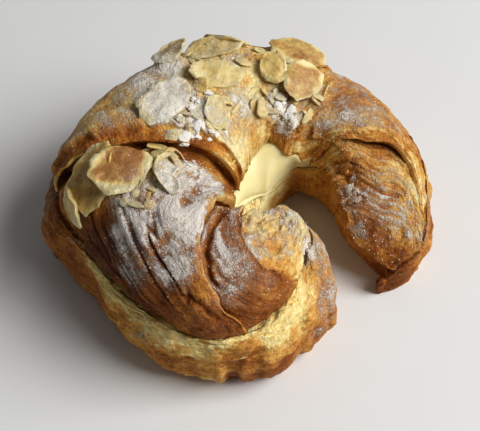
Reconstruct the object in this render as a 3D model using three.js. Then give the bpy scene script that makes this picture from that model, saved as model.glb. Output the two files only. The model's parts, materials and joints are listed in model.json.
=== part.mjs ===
// An almond croissant: a rolled pastry curved almost into a ring, sliced level into a base and a lid, filled
// with custard cream and topped with flaked almonds. Millimetres, +Z up, resting on the floor at z = 0.
//
// Every section lies round one upright axis, the centre of the crescent. An angle of 0 degrees points along
// +X and 90 degrees along +Y: the slim tip is at -24, the back at 90, the left side at 180, the front at 270
// and the blunt end at 333. Across the lid, a sweep of 0 is its outer edge, 90 its ridge, 180 its inner edge.

import * as THREE from "three";

// ---- Driving dimensions -------------------------------------------------------------------------------

const CENTRE = { x: 7.92, y: -2.84 }; // puts the whole croissant's box on the origin
const GAP = 0.3; // left between pieces that touch

// The crescent, as [angle, size] pairs. Radii are measured from the centre, heights from the floor.
const BASE_OUTER_RADIUS = [
  [-24, 47], [-13, 58.2], [5, 62.5], [20, 63], [55, 68], [84, 67], [113, 68], [150, 73.5],
  [180, 79], [197, 69], [212, 65.5], [232, 65.5], [269, 59.7], [290, 50], [306, 43.5], [323, 29.5], [333, 20],
];
const BASE_INNER_RADIUS = [
  [-24, 46], [-18, 43], [-12, 37], [-3, 30], [13, 27], [36, 27], [52, 25.5], [61, 25],
  [70, 17], [84, 10], [130, 9], [300, 9], [326, 12], [333, 18],
];
const LID_OUTER_RADIUS = [
  [-24, 46.6], [-20, 50], [-12, 57], [4, 58], [20, 60.5], [55, 64], [113, 64.5], [150, 67], [180, 71.5],
  [198, 64.5], [226, 60], [250, 59.5], [265, 53.5], [288, 37], [300, 28.5], [316, 23], [330, 15.5], [333, 19],
];
const LID_INNER_RADIUS = [
  [-20, 42], [-15, 32], [-3, 28], [11, 26.5], [40, 26.5], [57, 24], [68, 20.5], [86, 22],
  [92, 20], [132, 12], [184, 9.5], [250, 8.5], [300, 6.5], [330, 7],
];
const RIDGE_RADIUS = [
  [-20, 46], [-5, 45], [55, 44], [113, 42], [180, 41], [240, 38], [270, 31], [300, 18], [330, 11.5],
];
const RIDGE_HEIGHT = [
  [-24, 9], [-18, 20], [-5, 31], [22, 41], [55, 46], [84, 50], [113, 54], [150, 55.5],
  [180, 56.5], [214, 56], [245, 52], [270, 48], [292, 43], [316, 39], [333, 33],
];
const SHELF_HEIGHT = [
  [-24, 8], [-18, 14], [-10, 20], [0, 25], [22, 30], [84, 31], [180, 31], [265, 30],
  [286, 32], [300, 31], [330, 29], [333, 22],
];
const SILL_HEIGHT = [
  [-24, 8], [-18, 13], [-10, 18], [0, 23], [27, 28], [44, 25], [55, 22], [64, 20],
  [84, 20], [184, 22], [270, 25], [330, 25], [333, 21],
];
const BRIM_HEIGHT = [
  [-20, 16.5], [-10, 23], [0, 28], [27, 33], [57, 30], [68, 32], [85, 35], [92, 33],
  [132, 30], [184, 28], [250, 30], [290, 33], [316, 33], [330, 32],
];

const SECTIONS = 72; // steps between the sections of the base and the cream
const BASE_RUNS = { from: -24, to: 333 };
const BULGE_SHARE = 0.3; // the base is widest at this share of the ridge height
const FOOT_INSET = 9; // how far the flat foot lies inside the widest line
const FOOT_SHARE = 0.3; // the same on a narrow stretch, as a share of its width
const SHELF_MARGIN = 0.2; // the least width of the slope outside the shelf
const SILL_INSET = 1.5; // the base's inner top edge lies this far back from its inner wall
const BASE_FOLD_DEPTH = 1.6; // how far the rolled layers stand out on the base's outer wall
const BASE_FOLD_ANGLES = [-24, -12, 6, 30, 60, 92, 124, 152, 178, 206, 230, 251, 268, 284, 299, 314, 333];

const LID_RUNS = { from: -20, to: 330 };
const LID_ROUNDNESS = 0.85; // 1 is an ellipse over the lid, less is squarer shoulders
const LID_SWEEPS = 15;
const LID_UNDER_SHARES = [0.06, 0.25, 0.45, 0.65, 0.85, 1];
const DROOP = { width: 6, height: 3 }; // the lid's outer edge hangs down past the filling
const LIP_TUCK = 2.6; // degrees that a rolled layer reaches under its neighbour
const LIP_ROUND = 0.8; // degrees that a lip's rim stands out past its top
const RIM_SHARE = 0.6; // the rim's height, as a share of the lip's
const UNDER_SHARE = 0.3; // the height of the lip's underside, likewise
const LIP_FADE = 16; // degrees of sweep over which a lip closes at the lid's edges
const LIP_SETTLE = 0.3; // degrees between a closed lip's columns, half of it each way
const EDGE_LIFT_SHARE = 0.35; // how much of a layer's height is left at the lid's edges
const LAYER_SINK = 2.2; // from the lid's mean surface down to a layer's low end
const COLUMN_STEP = 6.2; // degrees between the lid's columns

// The lips where one rolled layer of the lid ends over the next, at its outer edge, ridge and inner edge.
// A lip that faces 1 looks towards the blunt end, and one that faces -1 towards the slim tip.
const LIPS = [
  { outer: -6, ridge: 24, inner: 50, faces: -1, depth: 4.5 },
  { outer: 64, ridge: 73, inner: 86, faces: -1, depth: 2.2 },
  { outer: 178, ridge: 173, inner: 150, faces: 1, depth: 5.5 },
  { outer: 264, ridge: 238, inner: 203, faces: 1, depth: 5 },
  { outer: 287, ridge: 264, inner: 228, faces: 1, depth: 4.5 },
];

const CREAM_RUNS = { first: 3, last: 69 }; // the sections that it starts and ends at
const CREAM_SETBACK = 2; // from the lid's droop to the filling's outer edge
const CREAM_INSET = 1.2; // from the inner edges of the base and the lid to the filling
const CREAM_GAP = 0.8; // left above and below the filling, whose sections differ a little from the lid's
const CREAM_BULGE = 1.2; // how far the filling swells from the open inner side

// Flaked almonds, in the order they fell: where each lies, how it is turned, and its size.
const FLAKES = [
  { angle: 188, sweep: 57, turn: 55, length: 25, width: 17 },
  { angle: 191, sweep: 77, turn: 15, length: 21, width: 17 },
  { angle: 193, sweep: 101, turn: 75, length: 12, width: 8 },
  { angle: 193, sweep: 29, turn: 80, length: 14, width: 8 },
  { angle: 206, sweep: 97, turn: 140, length: 10, width: 5 },
  { angle: 150, sweep: 94, turn: 40, length: 21, width: 14 },
  { angle: 133, sweep: 118, turn: 100, length: 12, width: 8 },
  { angle: 115, sweep: 95, turn: 0, length: 19, width: 11 },
  { angle: 110, sweep: 70, turn: 10, length: 20, width: 11 },
  { angle: 104, sweep: 62, turn: 160, length: 17, width: 10 },
  { angle: 125, sweep: 58, turn: 50, length: 14, width: 11 },
  { angle: 76, sweep: 62, turn: 0, length: 22, width: 15 },
  { angle: 70, sweep: 92, turn: 30, length: 19, width: 13 },
  { angle: 86, sweep: 92, turn: 110, length: 13, width: 9 },
];
const FLAKE_THICKNESS = 1.3;
const FLAKE_POINTS = 14;
const FLAKE_TAPER = 0.28; // how much narrower a flake's pointed end is
const FLAKE_CAMBER = 0.006; // how far a flake curls down, per millimetre squared from its middle
const DROP_HEIGHT = 40; // from which a flake is lowered onto the lid
const SEAT_GAP = 0.4; // left under a flake
const SEAT_PASSES = 3; // times that a flake is turned to the slope under it
const SEAT_SAMPLES = 8; // places tried each way from a flake's middle
const STEEPEST_SEAT = 0.4; // the most that one pass turns a flake, as a slope

// ---- Curves round the crescent ------------------------------------------------------------------------

// A smooth curve through [angle, size] knots that never swings past them.
function curveThrough(knots) {
  const chords = knots.slice(1).map((knot, i) => (knot[1] - knots[i][1]) / (knot[0] - knots[i][0]));
  const slopes = knots.map((knot, i) => {
    const before = chords[Math.max(i - 1, 0)];
    const after = chords[Math.min(i, chords.length - 1)];
    return before * after > 0 ? (2 * before * after) / (before + after) : 0;
  });
  return (angle) => {
    const last = knots.length - 2;
    const i = Math.min(Math.max(knots.findIndex((knot) => knot[0] > angle) - 1, 0), last);
    const span = angle >= knots[last + 1][0] ? last : i;
    const run = knots[span + 1][0] - knots[span][0];
    const t = Math.min(Math.max((angle - knots[span][0]) / run, 0), 1);
    const rise = t * t * (3 - 2 * t);
    return (
      knots[span][1] * (1 - rise) +
      knots[span + 1][1] * rise +
      run * (slopes[span] * t * (1 - t) ** 2 - slopes[span + 1] * t * t * (1 - t))
    );
  };
}

const baseOuter = curveThrough(BASE_OUTER_RADIUS);
const baseInner = curveThrough(BASE_INNER_RADIUS);
const lidOuter = curveThrough(LID_OUTER_RADIUS);
const lidInner = curveThrough(LID_INNER_RADIUS);
const ridgeRadius = curveThrough(RIDGE_RADIUS);
const ridgeHeight = curveThrough(RIDGE_HEIGHT);
const shelfHeight = curveThrough(SHELF_HEIGHT);
const sillHeight = curveThrough(SILL_HEIGHT);
const brimHeight = curveThrough(BRIM_HEIGHT);

function mix(a, b, share) {
  return a + (b - a) * share;
}

function radians(degrees) {
  return (degrees * Math.PI) / 180;
}

// ---- Lofting ------------------------------------------------------------------------------------------

function place(angle, radius, height) {
  const turn = radians(angle);
  return [CENTRE.x + radius * Math.cos(turn), CENTRE.y + radius * Math.sin(turn), height];
}

// A closed skin over closed sections that all have the same number of points, with a flat fan at each end.
function loft(sections) {
  const around = sections[0].length;
  const positions = sections.flat();
  const faces = [];
  for (let i = 0; i < sections.length - 1; i++) {
    for (let j = 0; j < around; j++) {
      const here = i * around + j;
      const next = i * around + ((j + 1) % around);
      faces.push([here, here + around, next], [next, here + around, next + around]);
    }
  }
  for (const end of [0, sections.length - 1]) {
    const middle = positions.length;
    const section = sections[end];
    positions.push([0, 1, 2].map((k) => section.reduce((sum, point) => sum + point[k], 0) / around));
    for (let j = 0; j < around; j++) {
      const edge = [end * around + j, end * around + ((j + 1) % around)];
      faces.push(end === 0 ? [middle, edge[0], edge[1]] : [middle, edge[1], edge[0]]);
    }
  }
  const geometry = new THREE.BufferGeometry();
  geometry.setAttribute("position", new THREE.Float32BufferAttribute(positions.flat(), 3));
  geometry.setIndex(faces.flat());
  geometry.computeVertexNormals();
  return geometry;
}

// A quarter of an ellipse from the point at its side to the point at its top, without the last point.
function quarter(side, top, steps) {
  return Array.from({ length: steps }, (_, k) => {
    const turn = ((k / steps) * Math.PI) / 2;
    return [mix(top[0], side[0], Math.cos(turn)), mix(side[1], top[1], Math.sin(turn))];
  });
}

// The angles of the sections that the base and the cream share, from the slim tip to the blunt end.
const sectionAngles = Array.from({ length: SECTIONS + 1 }, (_, i) =>
  mix(BASE_RUNS.from, BASE_RUNS.to, i / SECTIONS),
);

// ---- Base ---------------------------------------------------------------------------------------------

// The rolled layers on the outer wall: each swells from one fold to the next and drops back at it.
function baseFold(angle) {
  const next = BASE_FOLD_ANGLES.findIndex((fold) => fold > angle);
  if (next < 1) return 0;
  const from = BASE_FOLD_ANGLES[next - 1];
  const share = (angle - from) / (BASE_FOLD_ANGLES[next] - from);
  return -BASE_FOLD_DEPTH * (1 - Math.sin(Math.PI * share)) ** 2;
}

function baseSection(angle) {
  const outer = baseOuter(angle) + baseFold(angle);
  const inner = baseInner(angle);
  const foot = Math.min(FOOT_INSET, FOOT_SHARE * (outer - inner));
  const bulge = BULGE_SHARE * ridgeHeight(angle);
  const shelf = [Math.min(lidOuter(angle), outer - SHELF_MARGIN), shelfHeight(angle)];
  const sill = [Math.min(inner + SILL_INSET, mix(inner, shelf[0], 0.5)), sillHeight(angle)];
  const outline = [
    ...quarter([outer, bulge], [outer - foot, 0], 4).reverse(),
    ...quarter([outer, bulge], shelf, 5).slice(1),
    shelf,
    [mix(shelf[0], sill[0], 0.35), mix(shelf[1], sill[1], 0.35)],
    [mix(shelf[0], sill[0], 0.7), mix(shelf[1], sill[1], 0.7)],
    sill,
    ...quarter([inner, bulge], sill, 3).reverse(),
    ...quarter([inner, bulge], [inner + foot, 0], 3).slice(1),
    [inner + foot, 0],
    [outer - foot, 0],
  ];
  return outline.map(([radius, height]) => place(angle, radius, height));
}

function makeBase() {
  return loft(sectionAngles.map(baseSection));
}

// ---- Lid ----------------------------------------------------------------------------------------------

// The angle of a lip at a sweep, on a smooth line through its outer edge, ridge and inner edge.
function lipAngle({ outer, ridge, inner }, sweep) {
  const across = sweep / 90 - 1;
  return ridge + (across * (inner - outer)) / 2 + across ** 2 * ((inner + outer) / 2 - ridge);
}

// The lid's columns, from the slim tip to the blunt end. Each one lies at a share of the way between two
// lines across the lid, with its layer's height over the lid's mean surface. The columns at a lip turn
// back under it, by tuck degrees.
function lidColumns() {
  const start = { outer: LID_RUNS.from, ridge: LID_RUNS.from, inner: LID_RUNS.from, faces: 0, depth: 0 };
  const finish = { outer: LID_RUNS.to, ridge: LID_RUNS.to, inner: LID_RUNS.to, faces: 0, depth: 0 };
  const lines = [start, ...LIPS, finish];
  const columns = [];
  lines.slice(1).forEach((to, k) => {
    const from = lines[k];
    const steps = Math.round((to.ridge - from.ridge) / COLUMN_STEP);
    const fromTuck = from.faces > 0 ? -LIP_TUCK : 0;
    const toTuck = to.faces < 0 ? LIP_TUCK : 0;
    const fromLift = from.faces < 0 ? from.depth : 0;
    const toLift = to.faces > 0 ? to.depth : 0;
    for (let i = 0; i <= steps; i++) {
      const share = i / steps;
      const tuck = mix(fromTuck, toTuck, share);
      const lift = mix(fromLift, toLift, share);
      const settle = mix(LIP_SETTLE, -LIP_SETTLE, share);
      columns.push({ from, to, share, tuck, lift, settle });
    }
    if (to === finish) return;
    const rim = { from: to, to, share: 0, tuck: to.faces * LIP_ROUND, lift: to.depth * RIM_SHARE };
    const under = { from: to, to, share: 0, tuck: -to.faces * LIP_TUCK, lift: to.depth * UNDER_SHARE };
    rim.settle = (-to.faces * LIP_SETTLE) / 3;
    under.settle = (to.faces * LIP_SETTLE) / 3;
    columns.push(...(to.faces > 0 ? [rim, under] : [under, rim]));
  });
  return columns;
}

// How much of a lip's fold is left at a sweep: all of it over the lid, and none at its edges.
function lipShare(sweep) {
  const t = Math.min(1, sweep / LIP_FADE, (180 - sweep) / LIP_FADE);
  return t * t * (3 - 2 * t);
}

// A place on the lid's mean surface.
function lidSpot(angle, sweep) {
  const onOuterSide = sweep < 90;
  const edgeRadius = onOuterSide ? lidOuter(angle) : lidInner(angle);
  const edgeHeight = onOuterSide ? shelfHeight(angle) + GAP : brimHeight(angle);
  const across = Math.abs(Math.cos(radians(sweep))) ** LID_ROUNDNESS;
  const up = Math.abs(Math.sin(radians(sweep))) ** LID_ROUNDNESS;
  return {
    radius: mix(ridgeRadius(angle), edgeRadius, across),
    height: mix(edgeHeight, ridgeHeight(angle), up),
  };
}

function lidPoint(column, sweep) {
  const fold = lipShare(sweep);
  const line = mix(lipAngle(column.from, sweep), lipAngle(column.to, sweep), column.share);
  const angle = line + mix(column.settle, column.tuck, fold);
  const { radius, height } = lidSpot(angle, sweep);
  const lift = (column.lift - LAYER_SINK) * mix(EDGE_LIFT_SHARE, 1, fold);
  return {
    angle,
    radius: radius + lift * Math.cos(radians(sweep)),
    height: height + lift * Math.sin(radians(sweep)),
  };
}

// A place on the lid's flat underside, from its inner edge at a share of 0 to its drooping outer edge at 1.
function lidUnderside(angle, share) {
  return {
    radius: mix(lidInner(angle), lidOuter(angle) - DROOP.width, share),
    height: mix(brimHeight(angle), shelfHeight(angle) + DROOP.height, share),
  };
}

function lidSection(column) {
  const over = Array.from({ length: LID_SWEEPS + 1 }, (_, k) => lidPoint(column, (180 * k) / LID_SWEEPS));
  const under = LID_UNDER_SHARES.map((share) => {
    const angle = mix(over[LID_SWEEPS].angle, over[0].angle, share);
    return { angle, ...lidUnderside(angle, share) };
  });
  return [...over, ...under].map((point) => place(point.angle, point.radius, point.height));
}

function makeLid() {
  const columns = lidColumns();
  return loft(columns.map((column) => lidSection(column)));
}

// ---- Cream --------------------------------------------------------------------------------------------

function creamSection(angle) {
  const shelf = [lidOuter(angle), shelfHeight(angle)];
  const sill = [baseInner(angle) + SILL_INSET, sillHeight(angle)];
  const start = lidUnderside(angle, 0);
  const end = lidUnderside(angle, 1);
  const outer = end.radius - CREAM_SETBACK;
  const low = Math.max(sill[0], Math.min(start.radius, sill[0] + 2)) + CREAM_INSET;
  const high = start.radius + CREAM_INSET;
  const floorAt = (radius) => mix(sill[1], shelf[1], (radius - sill[0]) / (shelf[0] - sill[0])) + CREAM_GAP;
  const roofAt = (radius) =>
    mix(start.height, end.height, (radius - start.radius) / (end.radius - start.radius)) - CREAM_GAP;
  const outline = [
    ...[0, 0.35, 0.7, 1].map((share) => mix(outer, low, share)).map((radius) => [radius, floorAt(radius)]),
    [(low + high) / 2 - CREAM_BULGE, (floorAt(low) + roofAt(high)) / 2],
    ...[0, 0.3, 0.65, 1].map((share) => mix(high, outer, share)).map((radius) => [radius, roofAt(radius)]),
  ];
  return outline.map(([radius, height]) => place(angle, radius, height)).reverse();
}

function makeCream() {
  return loft(sectionAngles.slice(CREAM_RUNS.first, CREAM_RUNS.last + 1).map(creamSection));
}

// ---- Flaked almonds -----------------------------------------------------------------------------------

function flakeSag(x, y) {
  return -FLAKE_CAMBER * (x * x + y * y);
}

// A thin drop-shaped plate that curls down a little, lying on z = 0 at its middle.
function flakeGeometry({ length, width }) {
  const ring = (height) =>
    Array.from({ length: FLAKE_POINTS }, (_, k) => {
      const turn = (2 * Math.PI * k) / FLAKE_POINTS;
      const x = 0.5 * length * Math.cos(turn);
      const y = 0.5 * width * Math.sin(turn) * (1 - FLAKE_TAPER * Math.cos(turn));
      return [x, y, height + flakeSag(x, y)];
    });
  const positions = [...ring(0), ...ring(FLAKE_THICKNESS), [0, 0, 0], [0, 0, FLAKE_THICKNESS]];
  const faces = [];
  for (let k = 0; k < FLAKE_POINTS; k++) {
    const next = (k + 1) % FLAKE_POINTS;
    faces.push([k, next, FLAKE_POINTS + next], [k, FLAKE_POINTS + next, FLAKE_POINTS + k]);
    faces.push([2 * FLAKE_POINTS, next, k], [2 * FLAKE_POINTS + 1, FLAKE_POINTS + k, FLAKE_POINTS + next]);
  }
  const geometry = new THREE.BufferGeometry();
  geometry.setAttribute("position", new THREE.Float32BufferAttribute(positions.flat(), 3));
  geometry.setIndex(faces.flat());
  geometry.computeVertexNormals();
  return geometry;
}

// The height, over a frame's own floor, of the first thing that a line straight down meets at (x, y).
function heightUnder(frame, x, y, ground) {
  const start = new THREE.Vector3(x, y, DROP_HEIGHT).applyMatrix4(frame);
  const down = new THREE.Vector3(0, 0, -1).transformDirection(frame);
  const [hit] = new THREE.Raycaster(start, down).intersectObjects(ground);
  return hit ? DROP_HEIGHT - hit.distance : -DROP_HEIGHT;
}

// A frame whose Z axis points outward and whose X axis lies as near to along as it can.
function frameOf(middle, outward, along) {
  const up = outward.clone().normalize();
  const side = new THREE.Vector3().crossVectors(up, along).normalize();
  const forward = new THREE.Vector3().crossVectors(side, up);
  return new THREE.Matrix4().makeBasis(forward, side, up).setPosition(middle);
}

// Turns a flake to the slope that it lands on, then lowers it until it all but touches.
function seatFlake(mesh, flake, ground) {
  const { radius, height } = lidSpot(flake.angle, flake.sweep);
  const middle = new THREE.Vector3(...place(flake.angle, radius, height));
  const across = Math.cos(radians(flake.sweep));
  const bearing = radians(flake.angle);
  const outward = new THREE.Vector3(Math.cos(bearing) * across, Math.sin(bearing) * across, 0);
  outward.z = Math.sin(radians(flake.sweep));
  const along = new THREE.Vector3(Math.cos(radians(flake.turn)), Math.sin(radians(flake.turn)), 0);
  for (let pass = 0; pass < SEAT_PASSES; pass++) {
    const frame = frameOf(middle, outward, along);
    const [reachX, reachY] = [flake.length / 3, flake.width / 3];
    const riseX = heightUnder(frame, reachX, 0, ground) - heightUnder(frame, -reachX, 0, ground);
    const riseY = heightUnder(frame, 0, reachY, ground) - heightUnder(frame, 0, -reachY, ground);
    const [forward, side, up] = [0, 1, 2].map((i) => new THREE.Vector3().setFromMatrixColumn(frame, i));
    const slopes = [riseX / (2 * reachX), riseY / (2 * reachY)];
    const [tiltX, tiltY] = slopes.map((slope) => THREE.MathUtils.clamp(slope, -STEEPEST_SEAT, STEEPEST_SEAT));
    outward.copy(up).addScaledVector(forward, -tiltX).addScaledVector(side, -tiltY);
  }
  const frame = frameOf(middle, outward, along);
  let clearance = -DROP_HEIGHT;
  for (let i = -SEAT_SAMPLES; i <= SEAT_SAMPLES; i++) {
    for (let j = -SEAT_SAMPLES; j <= SEAT_SAMPLES; j++) {
      const x = (0.52 * flake.length * i) / SEAT_SAMPLES;
      const y = (0.58 * flake.width * j) / SEAT_SAMPLES;
      const inside = i * i + j * j <= (SEAT_SAMPLES + 0.5) ** 2;
      if (inside) clearance = Math.max(clearance, heightUnder(frame, x, y, ground) - flakeSag(x, y));
    }
  }
  mesh.quaternion.setFromRotationMatrix(frame);
  mesh.position.copy(middle).addScaledVector(outward.normalize(), clearance + SEAT_GAP);
  mesh.updateMatrixWorld();
}

// ---- The croissant ------------------------------------------------------------------------------------

const crust = { roughness: 0.62, metalness: 0 };
const baseMaterial = new THREE.MeshStandardMaterial({ color: "#c08a4a", ...crust });
const lidMaterial = new THREE.MeshStandardMaterial({ color: "#a8692f", ...crust });
const creamMaterial = new THREE.MeshStandardMaterial({ color: "#f0e3ae", roughness: 0.45, metalness: 0 });
const almondMaterial = new THREE.MeshStandardMaterial({ color: "#d9c9a0", roughness: 0.7, metalness: 0 });

function named(name, geometry, material) {
  const mesh = new THREE.Mesh(geometry, material);
  mesh.name = name;
  return mesh;
}

const croissant = new THREE.Group();
const lid = named("croissant_lid", makeLid(), lidMaterial);
croissant.add(named("croissant_base", makeBase(), baseMaterial));
croissant.add(named("custard_cream", makeCream(), creamMaterial));
croissant.add(lid);

const ground = [lid];
FLAKES.forEach((flake, i) => {
  const number = String(i + 1).padStart(2, "0");
  const mesh = named(`almond_flake_${number}`, flakeGeometry(flake), almondMaterial);
  seatFlake(mesh, flake, ground);
  ground.push(mesh);
  croissant.add(mesh);
});

export default croissant;
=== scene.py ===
"""An almond croissant: a rolled pastry curved almost into a ring, sliced level into a base and a lid, filled
with custard cream, and topped with flaked almonds and icing sugar. The crescent and its relief are sized in
millimetres, and points, pieces and the stage in metres. Angles are degrees unless a comment says radians."""

import json
import math

import bpy
import numpy as np
from bpy.props import FloatProperty, FloatVectorProperty, IntProperty, PointerProperty
from mathutils import Euler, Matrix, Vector
from mathutils.bvhtree import BVHTree

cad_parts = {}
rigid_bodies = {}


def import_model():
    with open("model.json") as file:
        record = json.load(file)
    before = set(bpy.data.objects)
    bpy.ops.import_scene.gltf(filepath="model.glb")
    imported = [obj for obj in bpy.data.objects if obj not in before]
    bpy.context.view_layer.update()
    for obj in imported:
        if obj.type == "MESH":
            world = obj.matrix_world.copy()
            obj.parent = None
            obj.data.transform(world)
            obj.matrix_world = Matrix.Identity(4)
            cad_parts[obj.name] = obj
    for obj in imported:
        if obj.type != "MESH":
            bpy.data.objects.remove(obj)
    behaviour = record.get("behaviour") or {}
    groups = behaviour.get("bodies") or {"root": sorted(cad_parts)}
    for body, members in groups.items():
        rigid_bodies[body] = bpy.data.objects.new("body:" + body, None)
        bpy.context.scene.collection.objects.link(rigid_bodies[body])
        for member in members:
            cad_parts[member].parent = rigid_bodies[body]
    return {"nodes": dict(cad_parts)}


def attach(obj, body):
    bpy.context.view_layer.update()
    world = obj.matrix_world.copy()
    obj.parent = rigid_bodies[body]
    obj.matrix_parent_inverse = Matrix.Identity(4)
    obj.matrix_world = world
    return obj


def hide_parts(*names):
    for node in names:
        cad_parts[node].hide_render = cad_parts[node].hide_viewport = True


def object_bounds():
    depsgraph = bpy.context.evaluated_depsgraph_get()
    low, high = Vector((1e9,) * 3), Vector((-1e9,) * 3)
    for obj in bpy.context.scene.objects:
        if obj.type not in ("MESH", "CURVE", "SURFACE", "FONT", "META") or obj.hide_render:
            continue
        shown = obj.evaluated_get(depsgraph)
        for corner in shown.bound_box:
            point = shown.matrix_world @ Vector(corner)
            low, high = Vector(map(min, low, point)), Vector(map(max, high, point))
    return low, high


bl_info = {
    "name": "Almond croissant",
    "version": (1, 0, 0),
    "blender": (4, 5, 0),
    "location": "View3D > Sidebar > Croissant",
    "description": "Bakes an almond croissant with a custard filling round its solids",
    "category": "Add Mesh",
}

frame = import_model()
CAD_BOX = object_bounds()
FLAKE_NODES = sorted(name for name in frame["nodes"] if name.startswith("almond_flake"))
MM = 0.001

# ---- The crescent, as the solids have it ---------------------------------------------------------------
# Every section lies round one upright axis. An angle of 0 points along +X and 90 along +Y: the slim tip is
# at -24, the back at 90, the left side at 180, the front at 270 and the blunt end at 333. Across the lid, a
# sweep of 0 is its outer edge, 90 its ridge and 180 its inner edge. Knots are (angle, millimetres).

CENTRE = (7.92, -2.84)
GAP = 0.3
BASE_OUTER_RADIUS = [
    (-24, 47), (-13, 58.2), (5, 62.5), (20, 63), (55, 68), (84, 67), (113, 68), (150, 73.5), (180, 79),
    (197, 69), (212, 65.5), (232, 65.5), (269, 59.7), (290, 50), (306, 43.5), (323, 29.5), (333, 20),
]
BASE_INNER_RADIUS = [
    (-24, 46), (-18, 43), (-12, 37), (-3, 30), (13, 27), (36, 27), (52, 25.5), (61, 25), (70, 17), (84, 10),
    (130, 9), (300, 9), (326, 12), (333, 18),
]
LID_OUTER_RADIUS = [
    (-24, 46.6), (-20, 50), (-12, 57), (4, 58), (20, 60.5), (55, 64), (113, 64.5), (150, 67), (180, 71.5),
    (198, 64.5), (226, 60), (250, 59.5), (265, 53.5), (288, 37), (300, 28.5), (316, 23), (330, 15.5),
    (333, 19),
]
LID_INNER_RADIUS = [
    (-20, 42), (-15, 32), (-3, 28), (11, 26.5), (40, 26.5), (57, 24), (68, 20.5), (86, 22), (92, 20),
    (132, 12), (184, 9.5), (250, 8.5), (300, 6.5), (330, 7),
]
RIDGE_RADIUS = [
    (-20, 46), (-5, 45), (55, 44), (113, 42), (180, 41), (240, 38), (270, 31), (300, 18), (330, 11.5),
]
RIDGE_HEIGHT = [
    (-24, 9), (-18, 20), (-5, 31), (22, 41), (55, 46), (84, 50), (113, 54), (150, 55.5), (180, 56.5),
    (214, 56), (245, 52), (270, 48), (292, 43), (316, 39), (333, 33),
]
SHELF_HEIGHT = [
    (-24, 8), (-18, 14), (-10, 20), (0, 25), (22, 30), (84, 31), (180, 31), (265, 30), (286, 32), (300, 31),
    (330, 29), (333, 22),
]
SILL_HEIGHT = [
    (-24, 8), (-18, 13), (-10, 18), (0, 23), (27, 28), (44, 25), (55, 22), (64, 20), (84, 20), (184, 22),
    (270, 25), (330, 25), (333, 21),
]
BRIM_HEIGHT = [
    (-20, 16.5), (-10, 23), (0, 28), (27, 33), (57, 30), (68, 32), (85, 35), (92, 33), (132, 30), (184, 28),
    (250, 30), (290, 33), (316, 33), (330, 32),
]

BASE_RUNS = (-24, 333)
BULGE_SHARE = 0.3
FOOT_INSET = 9
FOOT_SHARE = 0.3
SHELF_MARGIN = 0.2
SILL_INSET = 1.5
BASE_FOLD_DEPTH = 1.6
BASE_FOLD_ANGLES = [-24, -12, 6, 30, 60, 92, 124, 152, 178, 206, 230, 251, 268, 284, 299, 314, 333]

LID_RUNS = (-20, 330)
LID_ROUNDNESS = 0.85
DROOP = (6, 3)
LIP_TUCK = 2.6
LIP_ROUND = 0.8
LIP_FADE = 16
LIP_SETTLE = 0.3
EDGE_LIFT_SHARE = 0.35
LAYER_SINK = 2.2

# The lines across the lid where its rolled layers end: the angle of each at the outer edge, the ridge and the
# inner edge, the way it faces (1 is towards the blunt end) and its depth.
LINES = [
    (-20, -20, -20, 0, 0),
    (-6, 24, 50, -1, 4.5),
    (64, 73, 86, -1, 2.2),
    (178, 173, 150, 1, 5.5),
    (264, 238, 203, 1, 5),
    (287, 264, 228, 1, 4.5),
    (330, 330, 330, 0, 0),
]


def mix(a, b, share):
    return a + (b - a) * share


def smooth(share):
    """An eased ramp from 0 to 1."""
    t = np.clip(share, 0, 1)
    return t * t * (3 - 2 * t)


def rise(value, start, end):
    """An eased ramp that is 0 at start and 1 at end. It falls where end lies before start."""
    return smooth((value - start) / (end - start))


def curve_through(knots):
    """A smooth curve through (angle, size) knots that never swings past them."""
    at, size = np.array(knots, float).T
    chords = np.diff(size) / np.diff(at)
    before = np.append(chords[0], chords)
    after = np.append(chords, chords[-1])
    turning = before * after <= 0
    slopes = np.where(turning, 0, 2 * before * after / np.where(turning, 1, before + after))

    def curve(angle):
        span = np.clip(np.searchsorted(at, angle, side="right") - 1, 0, len(at) - 2)
        run = at[span + 1] - at[span]
        t = np.clip((angle - at[span]) / run, 0, 1)
        bow = slopes[span] * t * (1 - t) ** 2 - slopes[span + 1] * t * t * (1 - t)
        return mix(size[span], size[span + 1], smooth(t)) + run * bow

    return curve


base_outer = curve_through(BASE_OUTER_RADIUS)
base_inner = curve_through(BASE_INNER_RADIUS)
lid_outer = curve_through(LID_OUTER_RADIUS)
lid_inner = curve_through(LID_INNER_RADIUS)
ridge_radius = curve_through(RIDGE_RADIUS)
ridge_height = curve_through(RIDGE_HEIGHT)
shelf_height = curve_through(SHELF_HEIGHT)
sill_height = curve_through(SILL_HEIGHT)
brim_height = curve_through(BRIM_HEIGHT)


def place(angle, radius, height):
    """Points in metres from angles in degrees and sizes in millimetres."""
    turn = np.radians(angle)
    x = CENTRE[0] + radius * np.cos(turn)
    y = CENTRE[1] + radius * np.sin(turn)
    return np.stack(np.broadcast_arrays(x, y, height), -1) * MM


def lid_spot(angle, sweep):
    """The radius and height of a place on the lid's mean surface."""
    outside = sweep < 90
    edge_radius = np.where(outside, lid_outer(angle), lid_inner(angle))
    edge_height = np.where(outside, shelf_height(angle) + GAP, brim_height(angle))
    across = np.abs(np.cos(np.radians(sweep))) ** LID_ROUNDNESS
    up = np.abs(np.sin(np.radians(sweep))) ** LID_ROUNDNESS
    return mix(ridge_radius(angle), edge_radius, across), mix(edge_height, ridge_height(angle), up)


def line_angle(line, sweep):
    """The angle of a line across the lid at a sweep."""
    outer, ridge, inner = line[:3]
    across = sweep / 90 - 1
    return ridge + across * (inner - outer) / 2 + across**2 * ((inner + outer) / 2 - ridge)


def lip_share(sweep):
    """How much of a lip's fold is left at a sweep: all of it over the lid, and none at its edges."""
    return smooth(np.minimum(sweep, 180 - sweep) / LIP_FADE)


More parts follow.
